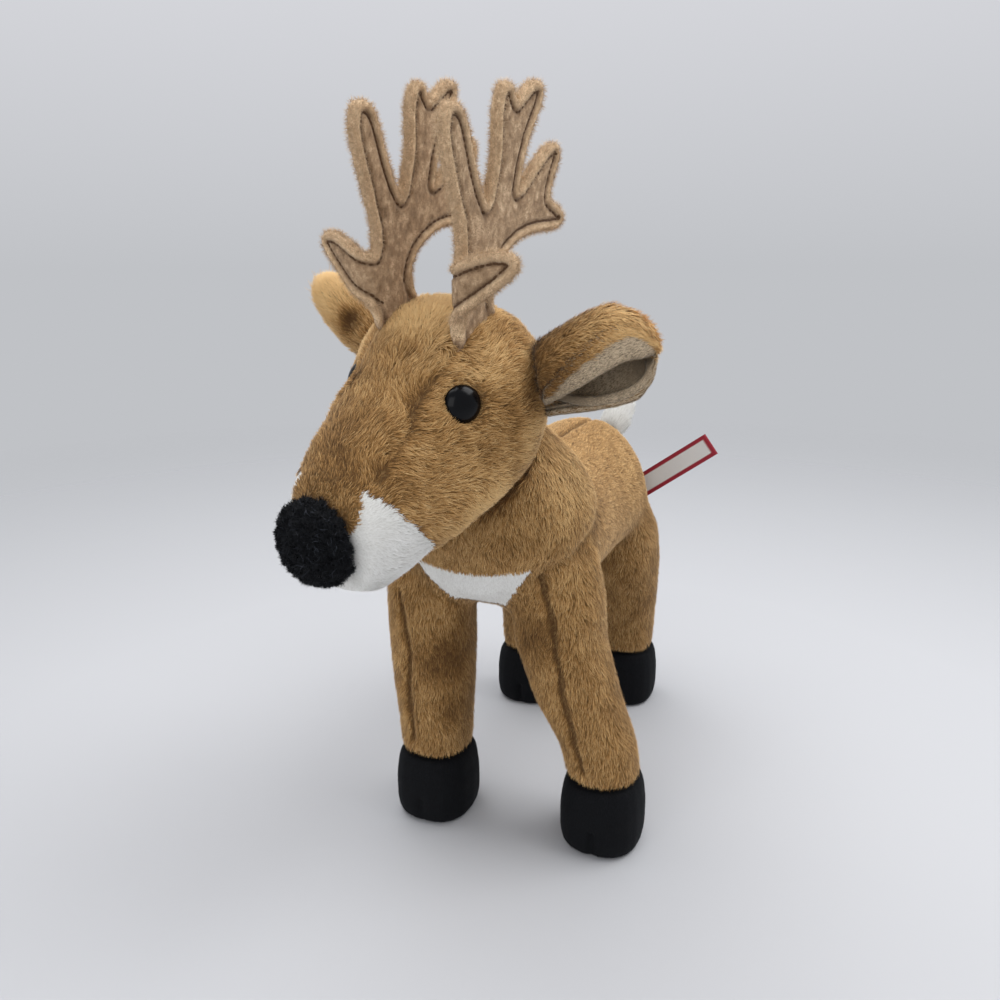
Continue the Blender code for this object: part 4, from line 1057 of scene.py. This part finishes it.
for word, side in SIDES:
    felts = [f"antler_{layer}_felt_{word}" for layer in ("outer", "inner")]
    rims = [line for node in felts for line in outlines(node)]
    rim_field = np.concatenate([stepped(line, RIM_STEP)[0] for line in rims])
    off_head = np.array([head_tree.find_nearest(Vector(spot))[3] for spot in rim_field])
    rim_field = rim_field[off_head > RIM_CLEAR]
    mesh = relaxed(remeshed(merged("antler", felts, 0.25 * MM), voxel=0.5 * MM), times=10)
    co = points_of(mesh)
    gap, _ = nearest(co, rim_field)
    groove = bell(gap - SEWN_IN, 0.9 * MM)
    mesh = pushed(mesh, 0.5 * MM * bell(gap - 0.9 * MM, 1.0 * MM) - groove * 0.6 * MM)
    co = points_of(mesh)
    found = [head_tree.find_nearest(Vector(c)) for c in co]
    depth = np.array([item[3] for item in found])
    foot = co[depth < 8 * MM]
    foot_middle = foot.mean(0)
    flat = (foot - foot_middle) - np.outer((foot - foot_middle) @ head_axes[2], head_axes[2])
    blade = np.linalg.svd(flat, full_matrices=False)[2][0]
    broader = 0.9 * (1 - depth / (12 * MM)).clip(0, 1) ** 1.5
    co = co + np.outer((co - foot_middle) @ blade * broader, blade)
    rooted = (1 - depth / ROOTED).clip(0, 1)[:, None]
    inwards = unit(np.array([tuple(item[1]) for item in found]) + head_axes[2] * 0.8)
    set_points(mesh, co - inwards * rooted * ROOTED)
    # rim marks the lighter rim, partly a painted highlight on the roll; sewn marks the painted shade in the
    # groove.
    for attribute, values in (("rim", (2.4 - gap / MM).clip(0, 1)), ("sewn", groove * 0.7)):
        mesh.attributes.new(attribute, "FLOAT", "POINT").data.foreach_set("value", values.astype(np.float32))
    antler = new_object("antler_felt_" + word, mesh, felt)
    surface = tree_of(mesh)
    threads = bmesh.new()
    for line in rims:
        for point, way in zip(*stepped(line, STITCH_PITCH)):
            sideways = unit(np.cross(way, head_axes[0]))
            upwards = np.cross(way, sideways)
            turns = np.linspace(0, tau, 8, endpoint=False)
            ways = [sideways * cos(turn) + upwards * sin(turn) for turn in turns]
            options = [surface.find_nearest(Vector(point + inward * SEWN_IN))[:2] for inward in ways]
            deep = [gap_to(rim_field, spot).min() for spot, _ in options]
            spot, normal = options[int(np.argmax(deep))]
            if max(deep) < SEWN_IN - 0.8 * MM or head_tree.find_nearest(spot)[3] < STITCH_CLEAR:
                continue
            along = Vector(way)
            along = (along - normal * along.dot(normal)).normalized()
            turned = Matrix((along, normal.cross(along), normal)).transposed().to_4x4()
            shape = Matrix.Translation(spot) @ turned @ Matrix.Diagonal((*STITCH_HALF, 1))
            bmesh.ops.create_icosphere(threads, subdivisions=1, radius=1.0, matrix=shape)
    stitches = new_object("antler_stitches_" + word, mesh_of(threads, "stitches"), thread)

    def felt_tone(root, out):
        # Lighter on the rim, partly paler fuzz and partly painted highlight; darker along the sewing line,
        # painted shade in its groove; and random mottling.
        gap, _ = nearest(root, rim_field)
        sewn = bell(gap - SEWN_IN, 0.7 * MM)
        return 0.30 * (2.4 - gap / MM).clip(0, 1) - 0.35 * sewn - 0.04 + 0.08 * lumps(root, 3 * MM, 14)

    def felt_reach(root, out):
        gap, _ = nearest(root, rim_field)
        return (0.7 + 1.6 * (1.8 - gap / MM).clip(0, 1)) * (1 - 0.6 * bell(gap - SEWN_IN, 0.7 * MM))

    fuzz = pile(f"antler_{word}_fuzz", mesh, felt_pile, per_mm2=9.0, length=1.2 * MM, width=0.13 * MM,
                flow=any_way, seed=110 + side, lift=0.7, tone=felt_tone, reach=felt_reach, clump=0.15,
                curl=0.3, velour=True)
    for piece in (antler, stitches, fuzz):
        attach(piece, "antler_" + word)
    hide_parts(*felts)


# Label: a white ribbon with a plain red woven border, folded over and sewn by its ends into the left
# flank's seam. It is bare of any words.
LABEL_WIDTH = 13.0 * MM
LABEL_LENGTH = 54.0 * MM
LABEL_BORDER = 2.4 * MM
FOLD_GAP = 0.30 * MM
LABEL_TUCK = 1.0 * MM
label_at = np.array(joint["label_flap"]["pos_m"])
label_up = np.array(joint["label_flap"]["axis"], float)
label_along = np.cross([0.0, 1.0, 0.0], label_up)
label_along *= np.sign(label_along[0])
ribbon = material("ribbon", 0.55, 0.2)
tree = ribbon.node_tree
place = added(tree, "UVMap")
place.uv_map = "OFBake"
weave = added(tree, "TexWave", Scale=60.0)
border = added(tree, "Attribute")
border.attribute_name = "border"
white = ramp(tree, ((0.3, (206, 204, 200)), (0.7, (232, 231, 228))))
red = ramp(tree, ((0.3, (132, 28, 42)), (0.7, (166, 44, 58))))
woven = mixed(tree, (border, "Fac"), (white, "Color"), (red, "Color"))
wired(tree, (place, "UV", weave, "Vector"), (weave, "Fac", white, "Fac"),
      (weave, "Fac", red, "Fac"), (woven, "Result", shader_of(ribbon), "Base Color"))
rows, columns = 90, 26
spots, places, edges = [], [], []
for i in range(rows + 1):
    run = (i / rows) * 2 - 1
    along = (1 - abs(run)) * (LABEL_LENGTH - LABEL_TUCK)
    layer = np.sign(run) * FOLD_GAP * min(1.0, abs(run) + 0.4)
    for j in range(columns + 1):
        across = (j / columns - 0.5) * LABEL_WIDTH
        spot = label_at + label_along * (along - LABEL_TUCK) + label_up * across
        spots.append(tuple(spot + np.array([0.0, layer, 0.0])))
        places.append((j / columns, i / rows))
        inside = min(LABEL_WIDTH / 2 - abs(across), LABEL_LENGTH - LABEL_TUCK - along)
        edges.append(1.0 if inside < LABEL_BORDER else 0.0)
wide = columns + 1
starts = [i * wide + j for i in range(rows) for j in range(columns)]
faces = [(start, start + 1, start + wide + 1, start + wide) for start in starts]
mesh = bpy.data.meshes.new("label")
mesh.from_pydata(spots, [], faces)
layer = mesh.uv_layers.new(name="OFBake")
for loop, item in zip(mesh.loops, layer.data):
    item.uv = places[loop.vertex_index]
mesh.attributes.new("border", "FLOAT", "POINT").data.foreach_set("value", np.array(edges, np.float32))
mesh.shade_smooth()
label = new_object("label_ribbon", mesh, ribbon)
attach(label, "label")
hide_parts("sewn_label")


# Stage: a pale floor that fades out into a pale sky, and soft light from above, from the deer's left and
# from in front. Only the camera sees the sky's own colour.
FLOOR_SIZE = 4.0
floor_mesh = bpy.data.meshes.new("floor")
corners = [(x * FLOOR_SIZE, y * FLOOR_SIZE, 0) for x, y in ((-1, -1), (1, -1), (1, 1), (-1, 1))]
floor_mesh.from_pydata(corners, [], [(0, 1, 2, 3)])
floor_finish = material("floor_finish", 0.6)
tree = floor_finish.node_tree
shader_of(floor_finish).inputs["Base Color"].default_value = (*linear(192, 193, 196), 1.0)
place = added(tree, "TexCoord")
measure = added(tree, "VectorMath")
measure.operation = "LENGTH"
fade = added(tree, "MapRange", From_Min=0.3, From_Max=1.1)
clear = added(tree, "BsdfTransparent")
both = added(tree, "MixShader")
wired(tree, (place, "Object", measure, 0), (measure, "Value", fade, "Value"),
      (fade, "Result", both, "Fac"), (shader_of(floor_finish), "BSDF", both, 1),
      (clear, "BSDF", both, 2), (both, "Shader", tree.nodes["Material Output"], "Surface"))
floor = new_object("floor", floor_mesh, floor_finish)

world = bpy.data.worlds.new("studio")
bpy.context.scene.world = world
world.use_nodes = True
tree = world.node_tree
light_sky = tree.nodes["Background"]
light_sky.inputs["Color"].default_value = (0.95, 0.96, 1.0, 1.0)
light_sky.inputs["Strength"].default_value = 0.59
shown_sky = added(tree, "Background")
rays = added(tree, "LightPath")
choose = added(tree, "MixShader")
place = added(tree, "TexCoord")
height = added(tree, "SeparateXYZ")
# The sky the camera sees is painted darker low down and paler higher up, as the painted shade of a backdrop.
sky_colour = ramp(tree, ((0.0, (192, 194, 198)), (0.27, (213, 214, 219))))
wired(tree, (place, "Generated", height, 0), (height, "Z", sky_colour, "Fac"),
      (sky_colour, "Color", shown_sky, "Color"), (rays, "Is Camera Ray", choose, "Fac"),
      (light_sky, "Background", choose, 1), (shown_sky, "Background", choose, 2),
      (choose, "Shader", tree.nodes["World Output"], "Surface"))
for name, spot, size, power in (
    ("key_light", (0.6, 0.2, 1.05), 0.8, 8.5),
    ("top_light", (-0.35, 0.1, 1.1), 0.9, 6.4),
    ("front_light", (-0.15, -1.1, 0.45), 0.8, 3.0),
):
    lamp = bpy.data.lights.new(name, "AREA")
    lamp.size = size
    lamp.energy = power
    holder = in_scene(bpy.data.objects.new(name, lamp))
    holder.location = spot
    holder.rotation_euler = (Vector(spot) - Vector((0, 0, 0.12))).to_track_quat("Z", "Y").to_euler()
bpy.context.scene.view_settings.view_transform = "Standard"
